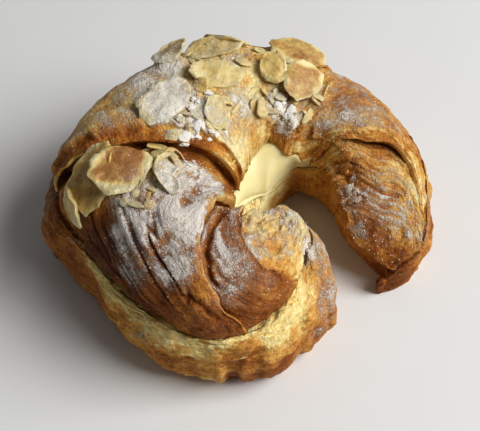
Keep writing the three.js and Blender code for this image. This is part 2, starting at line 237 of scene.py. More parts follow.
def lid_underside(angle, share):
    """A place on the lid's flat underside, from its inner edge at 0 to its drooping outer edge at 1."""
    radius = mix(lid_inner(angle), lid_outer(angle) - DROOP[0], share)
    return radius, mix(brim_height(angle), shelf_height(angle) + DROOP[1], share)


# ---- Noise and relief ----------------------------------------------------------------------------------

HASH = np.array([73856093, 19349663, 83492791], np.int64)
HASH_SEED = 7919
HASH_MIX = 1274126177
SEED_SHIFT = 0.37
CAP_ROWS = 10


def noise(*axes, seed=0):
    """Smooth noise from -1 to 1 over up to three coordinates, about one unit from bump to bump."""
    spots = np.stack(np.broadcast_arrays(*axes), -1).astype(float) + SEED_SHIFT * seed
    cell = np.floor(spots).astype(np.int64)
    ease = smooth(spots - cell)
    total = np.zeros(spots.shape[:-1])
    for corner in np.ndindex((2,) * spots.shape[-1]):
        key = ((cell + corner) * HASH[: spots.shape[-1]]).sum(-1) + seed * HASH_SEED
        key = (key ^ (key >> 13)) * HASH_MIX & 0xFFFFFFFF
        value = ((key ^ (key >> 16)) & 0xFFFF) / (0xFFFF / 2) - 1
        total += value * np.prod(np.where(corner, ease, 1 - ease), axis=-1)
    return total


def bumps(rows, *axes, seed=0):
    """Noise added up from rows of (height, length of a bump along each axis, seed)."""
    total = 0
    for height, *lengths, own_seed in rows:
        scaled = [axis / length for axis, length in zip(axes, lengths)]
        total = total + height * noise(*scaled, seed=seed + own_seed)
    return total


def layered_noise(points, size, seed=0, octaves=3):
    """Noise over places in metres, with finer and weaker layers added to bumps of the size given."""
    total = np.zeros(points.shape[:-1])
    for octave in range(octaves):
        x, y, z = np.moveaxis(points, -1, 0) * 2**octave / size
        total += noise(x, y, z, seed=seed + octave) / 2**octave
    return total


def ridges(phase, sharpness=1.0):
    """Rounded ridges with narrow valleys between them: 1 on top and 0 in the valleys."""
    return np.abs(np.sin(np.pi * phase)) ** sharpness


def wrinkles(u, v, layer, seed):
    """Rounded ridges with narrow valleys that wander, part and end: 1 on top and 0 in the valleys."""
    drift = noise(u, v, layer, seed=seed) + 0.4 * noise(2.1 * u, 1.7 * v, layer, seed=seed + 1)
    return smooth(np.abs(drift) / 0.4) ** 0.7


def terraces(height, steps):
    """Turns a smooth height into flat steps with steep edges, as thin sheets make where they end."""
    level = height * steps
    return (np.floor(level) + smooth((level % 1 - 0.7) / 0.3)) / steps


def window(value, low, high, ease):
    """1 between low and high, easing to 0 outside them."""
    return smooth((value - low) / ease + 1) * smooth((high - value) / ease + 1)


def stroke_covers(points, strokes, spot):
    """What each stroke lays on places in metres. spot gives the radius and height of a stroke's ends."""
    for *ends, width, amount in strokes:
        (angle, across), (last_angle, last_across) = np.reshape(ends, (2, 2, 1)).astype(float)
        first = place(angle, *spot(angle, across))[0]
        run = place(last_angle, *spot(last_angle, last_across))[0] - first
        share = np.clip((points - first) @ run / (run @ run), 0, 1)
        away = np.linalg.norm(points - first - share[..., None] * run, axis=-1)
        yield smooth(1.4 - 0.8 * away / (width * MM)) * amount


def cover(points, strokes, spot):
    """The most that any of the strokes lays on places in metres."""
    return np.maximum.reduce([*stroke_covers(points, strokes, spot)])


def outward(grid):
    """The outward normals of a grid of points whose rows each run once round the piece."""
    along = np.gradient(grid, axis=0)
    around = np.roll(grid, -1, 1) - np.roll(grid, 1, 1)
    normals = np.cross(along, around)
    return normals / np.maximum(np.linalg.norm(normals, axis=-1, keepdims=True), 1e-12)


def closed_ends(grid, bulge):
    """The grid with a rounded cap of CAP_ROWS rows added at each end."""
    caps = []
    for end, inner in ((0, 3), (-1, -4)):
        middle = grid[end].mean(0)
        axis = middle - grid[inner].mean(0)
        axis /= np.linalg.norm(axis)
        turns = np.radians(np.linspace(90 / CAP_ROWS, 90, CAP_ROWS))[:, None, None]
        caps.append(middle + (grid[end] - middle) * np.cos(turns) + axis * bulge * np.sin(turns))
    return np.concatenate([caps[0][::-1], grid, caps[1]])


# ---- The lid -------------------------------------------------------------------------------------------

LID_COLUMN_STEP = 0.85
LID_OVER_STEPS = 150
LID_UNDER_STEPS = 36
NOSE_STEPS = 9
TUCK_STEPS = 6
CAP_BULGE = 0.002  # in metres
PERIMETER = 75.0  # millimetres over the lid from its outer to its inner edge
MEAN_RADIUS = 40  # of the lid round the crescent, in millimetres
FAR = 99.0  # a distance in millimetres that stands for no lip at all
TUCKED_HEIGHT = 0.3  # the share of a lip's height that is left where it is tucked in
UNDER_START = 0.03
UNDER_SWEEP = 200  # the sweep that stands for the underside
UNDER_LENGTH = 50  # across the underside, in millimetres

# The rolled layers, numbered from the slim tip.
TIP_LAYER, SHEETED_LAYER, TOP_LAYER, FRONT_LAYER, SWIRL_LAYER, CONE_LAYER = range(6)
SWIRL_LINE = 5

# For each rolled layer, from the slim tip: how far apart its ridges are and how deep, how deep the small ones
# between them are, how many thin sheets end in steps before its lip, how far its ridges slant for each degree
# of sweep, how lumpy it is, how far it sinks beside the lip that lies over it, how much of its relief is lost
# towards the mouth, and how many times longer than wide its ridges are. Millimetres.
LAYERS = [
    (5.4, 2.7, 1.2, 0, 0.0, 0.5, 2.0, 0.0, 6),
    (5.2, 0.9, 0.5, 4, 0.0, 0.6, 0.8, 0.6, 3),
    (9.0, 0.8, 0.2, 2, 0.0, 0.9, 0.0, 0.95, 3),
    (6.4, 2.4, 0.25, 1, 0.44, 0.8, 2.0, 0.7, 1.9),
    (9.0, 1.1, 0.35, 1, 0.1, 0.35, 0.5, 0.5, 3),
    (5.0, 0.9, 0.3, 0, 0.0, 1.5, 1.0, 0.1, 2),
]
# What is left of the slim arm's lip across it: (sweep, share).
SLIM_LIP = [(0, 0.2), (45, 0.25), (72, 0.7), (94, 0.8), (114, 0.4), (132, 0.2), (180, 0.15)]
# How far the swirl's lip curves off its line across the lid: (sweep, degrees).
SWIRL_CURVE = [(0, 0), (25, -1), (55, -0.5), (78, -5), (95, -8), (115, -7), (140, -2), (180, 0)]
GRAIN = (1, 1, 0.55, 1, 1, 0.6)  # how fine the streaks across each layer are
SECOND_ROLL_DEPTH = 1.8  # of the groove where the swirl's second roll starts
SECOND_ROLL = (3.4, 3.8, 1.3)  # its distance from the lip, from and to, and how softly it starts
LEDGE = (5.0, 2.0)  # how wide and how deep the step is along the lip that hangs over the big front layer
LEDGE_EASE = 0.7
SHEET_STEP = 0.6
SHEET_EASE = 0.35
SHEET_EDGES = (1.0, 2.1, 3.4, 4.9)
FLAKING = 0.8
BROAD_RIDGES, NARROW_RIDGES = 1.3, 2.7  # how many go into a layer's spacing
UNSLANTED_SWEEP = 60  # where a layer's slant starts from
EDGE_WIDTH = 24  # degrees of sweep over which the lid's edges are ragged
FRILL_LENGTH = 6.1  # degrees round the crescent
LUMP_SIZE = 0.007  # in metres

# Rows of noise to add up: its height, how long a bump is along each axis, and its seed. The axes are
# millimetres, degrees round the crescent or across the lid, and layers.
LINE_WANDER = [(1.7, 22, 71), (0.9, 8, 81)]
RIDGE_WANDER = [(1, 14, 22, 1, 3)]
RIDGE_SHAKE = [(0.3, 3, 9, 1, 5)]
RIDGE_STRENGTH = [(0.45, 9, 16, 1, 7)]
SHEET_WAVES = [(0.35, 7, 1, 11)]
SHEET_TEETH = [(0.25, 1.6, 17)]
LID_FLAKING = [(1, 6, 13, 1, 25), (0.5, 2.2, 6, 1, 27)]
LEDGE_WAVES = [(0.4, 9, 77)]
LEDGE_TEETH = [(0.9, 2.6, 78)]
PASTE_BUMPS = [(0.6, 3.4, 3.4, 75), (0.4, 1.4, 1.4, 76)]
EDGE_RAG = [(0.5, 2.2, 21), (0.3, 0.9, 22)]
FRILL_DRIFT = [(0.5, 7, 23)]
FRILL_TEETH = [(0.2, 1.3, 24)]
UNDER_BUMPS = [(0.5, 3, 3, 0)]

# Beds of almond paste: from one (angle, sweep) to another, with the half width and the height in millimetres.
LID_PASTE = [
    (120, 92, 104, 60, 8.0, 1.3),
    (77, 60, 70, 94, 8.0, 1.2),
    (152, 96, 138, 112, 8.0, 1.0),
    (192, 60, 194, 100, 8.0, 1.0),
    (86, 118, 70, 130, 4.5, 1.2),
    (127, 58, 124, 66, 4.0, 2.2),
    (274, 112, 292, 82, 6.0, 1.5),
]
# Where the lid's inner edge hangs lower than its solid's, and where it is set back: (angle, millimetres).
INNER_DROOP = [
    (-20, 1), (10, 2), (30, 2.5), (42, 5), (50, 6), (55, 4), (60, 0), (205, 0), (220, 2.5), (240, 2.5),
    (254, 1), (290, 1), (300, 0),
]
INNER_SETBACK = [(165, 0), (188, 2.2), (205, 2.6), (214, 4.6), (236, 4.2), (254, 0)]
inner_droop = curve_through(INNER_DROOP)
inner_setback = curve_through(INNER_SETBACK)
slim_lip = curve_through(SLIM_LIP)
swirl_curve = curve_through(SWIRL_CURVE)


def lid_columns():
    """The lid's columns, one row each: its layer, its share of the way from the layer's first line to the
    next, its tuck, lift and settle as the solids have them, and how far it is round its lip's nose."""
    rows = []
    for layer, (start, end) in enumerate(zip(LINES, LINES[1:])):
        share = np.linspace(0, 1, round((end[1] - start[1]) / LID_COLUMN_STEP) + 1)
        tuck = mix(-LIP_TUCK * (start[3] > 0), LIP_TUCK * (end[3] < 0), share)
        lift = mix(start[4] * (start[3] < 0), end[4] * (end[3] > 0), share)
        settle = mix(LIP_SETTLE, -LIP_SETTLE, share)
        rows.append(np.stack([share * 0 + layer, share, tuck, lift, settle, share * 0], -1))
        if end is LINES[-1]:
            break
        faces, depth = end[3:]
        turn = np.linspace(np.pi / 2, -np.pi / 2, NOSE_STEPS)[1:]
        tuck = np.append(LIP_ROUND * np.cos(turn), np.linspace(0, -LIP_TUCK, TUCK_STEPS + 1)[1:])
        lift = np.append(mix(TUCKED_HEIGHT, 1, (1 + np.sin(turn)) / 2), np.full(TUCK_STEPS, TUCKED_HEIGHT))
        way = np.linspace(0, 1, len(tuck) + 1)[1:]
        nose = np.stack([tuck * 0 + layer, tuck * 0 + 1, faces * tuck, depth * lift, tuck * 0, way], -1)
        if faces < 0:
            nose[:, 0] += 1
            nose[:, 1] = 0
            nose = nose[::-1]
        nose[:, 4] = np.linspace(-LIP_SETTLE, LIP_SETTLE, len(nose) + 2)[1:-1]
        rows.append(nose)
    return np.concatenate(rows)


def wandering_line(number, sweep):
    """A line's angle at each sweep, as uneven as a baked lip."""
    curve = swirl_curve(sweep) if number == SWIRL_LINE else 0
    uneven = (LINES[number][4] > 0) * lip_share(sweep) * bumps(LINE_WANDER, sweep, seed=number)
    return line_angle(LINES[number], sweep) + curve + uneven


def lip_distances(kinds, share, span):
    """How far places are, in millimetres, from the lip that their own layer ends in and from the lip that
    lies over it. kinds are their layers, and span is how long the layer is there."""
    faces = np.array([line[3] for line in LINES])
    start, end = faces[kinds][:, None], faces[kinds + 1][:, None]
    behind, ahead = share * span, (1 - share) * span
    to_lip = np.minimum(np.where(end > 0, ahead, FAR), np.where(start < 0, behind, FAR))
    from_lip = np.minimum(np.where(start > 0, behind, FAR), np.where(end < 0, ahead, FAR))
    return to_lip, from_lip


def thin_sheets(v, layer, to_lip, count):
    """How many thin sheets have ended on the way to the lip, and a stripe that changes by 1 where each of
    them ends, up at one and down at the next."""
    ended, stripe = 0 * to_lip, 0 * to_lip
    for number, edge in enumerate(SHEET_EDGES):
        ragged = edge * (1 + bumps(SHEET_WAVES, v, layer, seed=number)) + bumps(SHEET_TEETH, v, seed=number)
        step = (count > number) * smooth((ragged - to_lip) / SHEET_EASE + 0.5)
        ended += step
        stripe += step * (-1) ** number
    return ended, stripe


def lip_left(layer, sweep):
    """How much of a layer's lip is left: less of it on the slim arm's two layers."""
    return mix(1, slim_lip(sweep), layer <= SHEETED_LAYER)


def lid_relief(spots, layer, share, nose, sweep, span):
    """How far the dough of the rolled layers stands out, and what the lid's finish goes by there."""
    kinds = layer.astype(int)[:, 0]
    spacing, depth, fine, sheets, slant, lumpy, sink, lost, length = np.array(LAYERS)[kinds].T[:, :, None]
    to_lip, from_lip = lip_distances(kinds, share, span)
    mean_span = np.radians([b[1] - a[1] for a, b in zip(LINES, LINES[1:])])[kinds][:, None] * MEAN_RADIUS
    u = share * mean_span + slant * (sweep - UNSLANTED_SWEEP) * (1 - rise(share, 0.75, 1))
    v = sweep / 180 * PERIMETER
    fold = lip_share(sweep)
    on_top = rise(nose, 1 / 3, 0)
    on_fold = on_top * fold

    wander = bumps(RIDGE_WANDER, u, v, layer)
    broad = wrinkles(u / spacing * BROAD_RIDGES, v / spacing / length, layer, seed=3)
    narrow = ridges(u / spacing * NARROW_RIDGES + 1.1 * wander + bumps(RIDGE_SHAKE, u, v, layer))
    strength = 0.55 + bumps(RIDGE_STRENGTH, u, v, layer)
    ended, stripe = thin_sheets(v, layer, to_lip, sheets)
    relief = -depth * strength * (1 - broad) - fine * (1 - narrow) * (0.6 + 0.4 * wander) - SHEET_STEP * ended
    relief += FLAKING * (terraces(0.5 * bumps(LID_FLAKING, u, v, layer), 4) - 0.3)
    relief = relief * on_top * mix(0.35, 1, fold) * (1 - lost * rise(sweep, 100, 135))

    ledge_width = LEDGE[0] * (1 + bumps(LEDGE_WAVES, v)) + bumps(LEDGE_TEETH, v)
    ledge = (layer == TOP_LAYER) * smooth((ledge_width - (1 - share) * span) / LEDGE_EASE + 0.5) * on_fold
    second_roll = (layer == SWIRL_LAYER) * window(from_lip, *SECOND_ROLL) * rise(sweep, 45, 65) * on_fold
    lip_reach = 3.5 * sink + 1
    hollow = (1 - smooth(from_lip / lip_reach)) * (sink > 0) * on_fold * lip_left(layer, sweep)
    bed = cover(spots, LID_PASTE, lid_spot)
    relief -= LEDGE[1] * ledge + SECOND_ROLL_DEPTH * second_roll + sink * hollow
    relief += lumpy * on_top * layered_noise(spots, LUMP_SIZE, seed=28, octaves=2)
    relief += bed * on_top * (0.7 + bumps(PASTE_BUMPS, u, v))
    shaded = np.maximum.reduce([hollow, ledge, 0.5 * second_roll])
    return relief, {"to_lip": to_lip, "stripe": stripe, "hollow": shaded, "paste": bed, "u": u, "v": v}


def lid_edges(angle, sweep):
    """How far the lid's edges stand out: ragged all round, and frilled on the slim arm's inner side."""
    edge = 1 - smooth(np.minimum(sweep, 180 - sweep) / EDGE_WIDTH)
    inner_tip = (sweep > 90) * rise(angle, 49, 37)
    frill = ridges(angle / FRILL_LENGTH + bumps(FRILL_DRIFT, angle), 0.6) + bumps(FRILL_TEETH, angle)
    return 0.8 * edge * (bumps(EDGE_RAG, angle) - inner_tip * (2.3 - 4.2 * frill))


def lid_under(angle):
    """The lid's underside, below columns with the angles given over the lid: its points, their angles and
    their shares of the way across it."""
    share = np.linspace(UNDER_START, 1, LID_UNDER_STEPS)[None]
    angle = mix(angle[:, -1:], angle[:, :1], share)
    radius, height = lid_underside(angle, share)
    near = (1 - share) ** 3
    radius = radius + inner_setback(angle) * near
    uneven = bumps(UNDER_BUMPS, angle, radius)
    return place(angle, radius, height - inner_droop(angle) * near + uneven), angle, share


def lid_grid():
    """The lid's points, and what its finish and its flow go by at each. Each row runs from the outer edge
    over the ridge to the inner edge and back along the underside."""
    layer, share, tuck, lift, settle, nose = (column[:, None] for column in lid_columns().T)
    kinds = layer.astype(int)[:, 0]
    sweep = np.linspace(0, 180, LID_OVER_STEPS + 1)[None]
    lines = np.stack([wandering_line(number, sweep[0]) for number in range(len(LINES))])
    first, second = lines[kinds], lines[kinds + 1]
    fold = lip_share(sweep)
    angle = mix(first, second, share) + mix(settle, tuck, fold)
    radius, height = lid_spot(angle, sweep)
    span = np.radians(second - first) * radius
    relief, facts = lid_relief(place(angle, radius, height), layer, share, nose, sweep, span)
    raised = (lift * lip_left(layer, sweep) - LAYER_SINK) * mix(EDGE_LIFT_SHARE, 1, fold)
    out = raised + relief + lid_edges(angle, sweep)
    radius = radius + inner_setback(angle) * rise(sweep, 80, 140)
    height = height - inner_droop(angle) * rise(sweep, 115, 175)
    turn = np.radians(sweep)
    over = place(angle, radius + out * np.cos(turn), height + out * np.sin(turn))
    under, under_angle, under_share = lid_under(angle)

    local = np.where((layer == TOP_LAYER) | (layer == CONE_LAYER), radius / MEAN_RADIUS, 1)
    grain = np.array(GRAIN)[kinds][:, None]
    u, v = facts["u"], facts["v"]
    over_and_under = {
        "angle": (angle, under_angle),
        "layer": (layer, layer),
        "sweep": (sweep, UNDER_SWEEP),
        "to_lip": (facts["to_lip"], FAR),
        "nose": (nose, 1),
        "height": (relief, 0),
        "stripe": (facts["stripe"], 0),
        "hollow": (facts["hollow"], 0),
        "paste": (facts["paste"], 0),
        "u": (u * local * grain, u[:, -1:] * grain),
        "v": (v, PERIMETER + UNDER_LENGTH * under_share),
    }
    shapes = angle.shape, under_angle.shape
    whole = {
        name: np.concatenate([np.broadcast_to(value, shape) for value, shape in zip(values, shapes)], 1)
        for name, values in over_and_under.items()
    }
    return np.concatenate([over, under], 1), whole


# ---- The base ------------------------------------------------------------------------------------------

BASE_COLUMN_STEP = 0.75
# How many steps each stretch of the base's outline has: up from the foot to the widest line, on to the shelf,
# across the cut to the sill, down the inner wall to its widest line, down to the foot and across the floor.
BASE_STEPS = (16, 38, 34, 22, 12, 8)
CRUMB_RUNS = (182, 306)  # where pale crumb shows along the cut on the outer side
WELL_FILL = 10  # how far the inner wall's foot comes in round the small hole, in millimetres
BLUNT_CRUST = (278, 292)  # over these angles the cut's crumb gives way to the blunt end's crust
BASE_RADIUS = 50  # of the base round the crescent, in millimetres
BASE_SINK = 0.9
BASE_FLAKING = 1.4
CRUMB_EDGE = 1.42  # the lap that the band of crumb reaches down to
THREAD_HEIGHT = 1.3  # of the threads in torn crumb
BITE_DEPTH = 1.7
NOTCH = (259, 261, 2.5)  # the angles of the notch in the front foot, from and to, and how softly it starts
NOTCH_DEPTH = 2.6
TIP_FOLDS = 3.2  # folds at the slim tip for each stretch of the base's outline

# Rows of noise as for the lid: round the crescent, up the wall and by lap.
CRUMB_EDGE_WAVES = [(0.2, 9, 31), (0.12, 2.5, 32)]
TORN_PATCHES = [(1, 4.5, 3, 39), (0.5, 1.6, 1.3, 40)]
THREAD_DRIFT = [(0.9, 13, 4, 33)]
TORN_CRUMB = [(1, 3.2, 1.5, 34), (0.6, 1.4, 1.1, 42)]
BLISTERS = [(1, 5.5, 5, 1 / 2, 35)]
FINE_BUMPS = [(1, 1.7, 1.7, 1 / 9, 36)]
BASE_FLAKES = [(1, 9, 4.5, 43), (0.5, 4, 2, 44)]
BITES = [(0.9, 8, 37), (0.6, 3, 38)]
TIP_DRIFT = [(1.2, 5, 2 / 3, 38)]
TIP_STRENGTH = [(0.4, 4, 1 / 4, 30)]


def quarter(side, top, share):
    """A place on a quarter of an ellipse, from the point at its side at 0 to the point at its top at 1."""
    turn = share * np.pi / 2
    return mix(top[0], side[0], np.cos(turn)), mix(side[1], top[1], np.sin(turn))


def base_fold(angle):
    """The rolled layers on the outer wall: each swells from one fold to the next and drops back at it."""
    folds = np.array(BASE_FOLD_ANGLES, float)
    after = np.clip(np.searchsorted(folds, angle, side="right"), 1, len(folds) - 1)
    share = (angle - folds[after - 1]) / (folds[after] - folds[after - 1])
    return -BASE_FOLD_DEPTH * (1 - np.sin(np.pi * np.clip(share, 0, 1))) ** 2


def base_outline(angle, lap):
    """The radius and height of the base's outline at a lap, which is 0 at the outer foot, 1 at the widest
    line, 2 at the shelf's edge, 3 at the sill, 4 at the inner wall's widest line, 5 at the inner foot and 6
    at 0."""
    outer = base_outer(angle) + base_fold(angle)
    inner = base_inner(angle)
    foot = np.minimum(FOOT_INSET, FOOT_SHARE * (outer - inner))
    bulge = BULGE_SHARE * ridge_height(angle)
    shelf = np.minimum(lid_outer(angle), outer - SHELF_MARGIN), shelf_height(angle)
    sill = np.minimum(inner + SILL_INSET, mix(inner, shelf[0], 0.5)), sill_height(angle)
    stretches = [
        quarter((outer, bulge), (outer - foot, 0), 1 - lap),
        quarter((outer, bulge), shelf, lap - 1),
        (mix(shelf[0], sill[0], lap - 2), mix(shelf[1], sill[1], lap - 2)),
        quarter((inner, bulge), sill, 4 - lap),
        quarter((inner, bulge), (inner + foot, 0), lap - 4),
        (mix(inner + foot, outer - foot, lap - 5), 0 * inner),
    ]
    stretch = np.minimum(lap.astype(int), 5)
    return tuple(np.choose(stretch, np.broadcast_arrays(*[s[k] for s in stretches])) for k in (0, 1))


def base_crumb(angle, lap, length, height):
    """How much crumb the ragged band below the base's cut shows, how much shows there and on the cut's
    face, and how pale the crust beside the band is."""
    along = rise(angle, CRUMB_RUNS[0], CRUMB_RUNS[0] + 36) * rise(angle, CRUMB_RUNS[1], CRUMB_RUNS[1] - 24)
    lower = CRUMB_EDGE + bumps(CRUMB_EDGE_WAVES, length)
    torn_off = bumps(TORN_PATCHES, length, height)
    patches = rise(torn_off, 0.8, 1.2) * window(angle, 208, 282, 10) * window(lap, 0.95, 1.6, 0.25)
    islands = rise(torn_off, -1, -0.6)
    band = along * rise(lap, lower, lower + 0.32) * rise(lap, 2.15, 2.05)
    band = np.maximum(band * islands, 0.6 * patches)
    pale = along * rise(lap, lower - 0.3, lower + 0.2) * mix(0.6, 1, islands)
    cut = rise(lap, 2, 2.06) * rise(lap, 3.25, 3.05) * (1 - rise(angle, *BLUNT_CRUST)) * rise(angle, 4, 16)
    return band, np.maximum(band, cut), pale


def base_relief(angle, lap, length, height, band, crumb):
    """How far the base's surface stands out: blisters and flaking on its crust, threads in its torn crumb,
    bites out of its foot, and folds at the slim tip."""
    wall = rise(lap, 2.1, 1.9) * rise(lap, 0, 0.3)
    blisters = bumps(BLISTERS, length, height, lap)
    fine = bumps(FINE_BUMPS, length, height, lap)
    threads = ridges(height / THREAD_HEIGHT + bumps(THREAD_DRIFT, length, height), 0.7)
    relief = wall * (blisters * (1 - 0.7 * crumb) + 0.35 * fine) - BASE_SINK
    flakes = terraces(0.5 * bumps(BASE_FLAKES, length, height), 3)
    relief += wall * (1 - crumb) * BASE_FLAKING * (flakes + 0.2)
    relief -= band * (0.7 * (1 - threads) + 0.5 * bumps(TORN_CRUMB, length, height) + 0.1)
    relief += (1 - wall) * (0.4 * fine + 0.6 * blisters)
    relief += rise(angle, *BLUNT_CRUST) * rise(lap, 1.6, 1.9) * rise(lap, 2.9, 2.6) * 0.9 * blisters
    bites = smooth(0.2 + bumps(BITES, length))
    relief -= BITE_DEPTH * bites * rise(lap, 1.6, 1) * rise(angle, 130, 160)
    relief -= NOTCH_DEPTH * window(angle, *NOTCH) * rise(lap, 1.3, 0.8)
    folds = ridges(lap * TIP_FOLDS + bumps(TIP_DRIFT, length, lap), 0.7)
    relief -= 0.9 * rise(angle, -2, -14) * (1 - folds) * (0.6 + bumps(TIP_STRENGTH, length, lap))
    return relief


def base_grid():
    """The base's points, and what its finish and its flow go by at each."""
    columns = round((BASE_RUNS[1] - BASE_RUNS[0]) / BASE_COLUMN_STEP) + 1
    angle = np.linspace(*BASE_RUNS, columns)[:, None]
    lap = np.concatenate([k + np.arange(n) / n for k, n in enumerate(BASE_STEPS)])[None]
    angle, lap = np.broadcast_arrays(angle, lap)
    radius, height = base_outline(angle, lap)
    well = window(angle, 90, 265, 25) * rise(lap, 3.3, 5) * rise(lap, 6, 5.2)
    points = place(angle, radius - WELL_FILL * well, height)
    length = np.radians(angle) * BASE_RADIUS
    band, crumb, pale = base_crumb(angle, lap, length, height)
    relief = base_relief(angle, lap, length, height, band, crumb)
    points = points + outward(points) * (relief * rise(height, 0, 1.2) * MM)[..., None]
    points[..., 2] = np.maximum(points[..., 2], 0)
    along = length * mix(1, 0.3, rise(lap, 2.6, 3))
    facts = {"angle": angle, "lap": lap, "crumb": crumb, "pale": pale}
    facts.update({"height": relief, "u": height, "v": along})
    return points, facts


# ---- The custard ---------------------------------------------------------------------------------------

CREAM_RUNS = (-9, 317)
CREAM_COLUMN_STEP = 1.4
CREAM_STEPS = 16
CREAM_SETBACK = 2
CREAM_GAP = 0.3
CREAM_BULGE = 1.6
# How far the custard's face stands back from the mouth, and how much of it has run down the inner wall.
CREAM_INSET = [(-9, 4), (50, 4), (56, 1.2), (62, 0.7), (236, 0.9), (250, 3), (317, 3)]
CREAM_RUN_DOWN = [(70, 0), (84, 0.3), (104, 0.45), (130, 0.7), (150, 0.8), (186, 0.9), (215, 0.5), (240, 0)]
CREAM_RUN_THICKNESS = 0.7
CREAM_EASE = (-9, -6, -3, 0, 3, 6, 9)  # the custard evens out the crescent's turns over these degrees
CREAM_RUN_WAVES = [(0.2, 16, 45), (0.08, 5, 46)]
CREAM_WAVES = [(0.15, 30, 1 / 2, 41)]
cream_inset = curve_through(CREAM_INSET)
cream_run_down = curve_through(CREAM_RUN_DOWN)


def cream_grid():
    """The custard's points: a wedge that fills the space between the base and the lid, swells inwards and has
    run a little way down the base's inner wall."""
    angle = np.linspace(*CREAM_RUNS, round((CREAM_RUNS[1] - CREAM_RUNS[0]) / CREAM_COLUMN_STEP) + 1)[:, None]
    share = np.linspace(0, 1, CREAM_STEPS)[None]
    inset, run = cream_inset(angle), cream_run_down(angle)
    has_run = rise(run, 0, 0.3)
    shelf = lid_outer(angle), shelf_height(angle)
    sill = base_inner(angle) + SILL_INSET, sill_height(angle)
    brim = [np.mean([lid_underside(angle + turn, 0)[k] for turn in CREAM_EASE], 0) for k in (0, 1)]
    droop = lid_underside(angle, 1)
    outer = droop[0] - CREAM_SETBACK
    low = sill[0] + inset * (1 - has_run)
    high = brim[0] + inset
    floor_radius = mix(outer, low, share)
    floor = mix(sill[1], shelf[1], (floor_radius - sill[0]) / (shelf[0] - sill[0])) + CREAM_GAP
    roof_radius = mix(high, outer, share)
    across = (roof_radius - brim[0]) / (droop[0] - brim[0])
    roof = mix(brim[1], droop[1], across) - CREAM_GAP - inner_droop(angle) * (1 - across) ** 3
    down = base_outline(angle, 3 + run * (1 + bumps(CREAM_RUN_WAVES, angle)) * share)
    thick = CREAM_RUN_THICKNESS * np.sin(np.pi * np.minimum(share * 0.9 + 0.1, 1)) * has_run
    swell = CREAM_BULGE * np.sin(np.pi * share) ** 0.7 * (1 + bumps(CREAM_WAVES, angle, share))
    face_radius = mix(low, high, share) - swell - (thick[:, :1] + 0.3 * has_run) * (1 - share)
    face = mix(floor[:, -1:], roof[:, :1], share)
    radius = [floor_radius, down[0] + 0.1, (down[0] - thick)[:, ::-1], face_radius[:, 1:-1], roof_radius]
    height = [floor, down[1], down[1][:, ::-1], face[:, 1:-1], roof]
    return place(angle, np.concatenate(radius, 1), np.concatenate(height, 1))[:, ::-1]


# ---- Sugar and browning --------------------------------------------------------------------------------

# Drifts of icing sugar on the lid, each from one (angle, sweep) to another, with its half width in
# millimetres and how thick it lies.
LID_SUGAR = [
    (190, 118, 216, 126, 6.5, 1.0),
    (206, 104, 226, 100, 9.0, 0.95),
    (224, 122, 240, 110, 4.0, 0.7),
    (232, 96, 217, 66, 8.5, 0.86),
    (228, 90, 236, 58, 6.5, 0.8),
    (240, 88, 257, 44, 4.5, 0.6),
    (216, 48, 222, 32, 7.0, 0.85),
    (200, 88, 205, 70, 6.5, 0.6),
    (153, 100, 136, 70, 9.5, 0.9),
    (140, 112, 158, 112, 6.0, 0.85),
    (150, 46, 165, 68, 9.0, 0.4),
    (173, 54, 168, 30, 6.0, 0.45),
    (106, 74, 124, 66, 9.0, 0.5),
    (128, 128, 100, 122, 8.0, 0.48),
    (72, 138, 80, 118, 4.0, 1.3),
    (58, 108, 38, 92, 9.0, 0.5),
    (52, 118, 47, 132, 5.0, 0.5),
    (38, 84, 28, 84, 4.0, 0.5),
    (24, 96, 12, 74, 5.0, 0.6),
    (60, 52, 30, 52, 6.0, 0.4),
    (14, 150, 8, 120, 7.0, 0.2),
    (6, 130, -1, 72, 5.0, 0.75),
    (9, 112, 4, 52, 4.0, 0.5),
    (0, 156, -8, 110, 5.0, 0.5),
    (-8, 110, -10, 45, 5.0, 0.7),
    (-14, 142, -16, 80, 4.0, 0.55),
    (250, 108, 257, 74, 7.0, 0.76),
    (259, 74, 268, 56, 4.5, 0.38),
    (248, 70, 254, 50, 2.0, 0.5),
    (236, 112, 246, 95, 5.0, 0.75),
    (268, 94, 278, 80, 4.5, 0.42),
    (229, 120, 236, 100, 3.5, 0.8),
    (280, 124, 304, 84, 8.0, 0.52),
    (286, 70, 296, 60, 4.0, 0.5),
]
# The same on the base, by (angle, lap).
BASE_SUGAR = [
    (322, 2.5, 305, 2.1, 5.5, 0.9),
    (316, 1.6, 300, 1.3, 5.5, 0.6),
    (300, 1.1, 293, 0.9, 4.0, 0.55),
    (322, 1.9, 326, 1.2, 5.0, 0.6),
    (229, 1.2, 231, 1.0, 2.2, 0.6),
    (150, 1.6, 178, 1.5, 5.0, 0.35),
    (5, 1.9, -12, 1.9, 4.0, 0.3),
]
SUGAR_EVERYWHERE = 0.05
SUGAR_STREAKS = [(0.45, 2.6, 6, 79)]

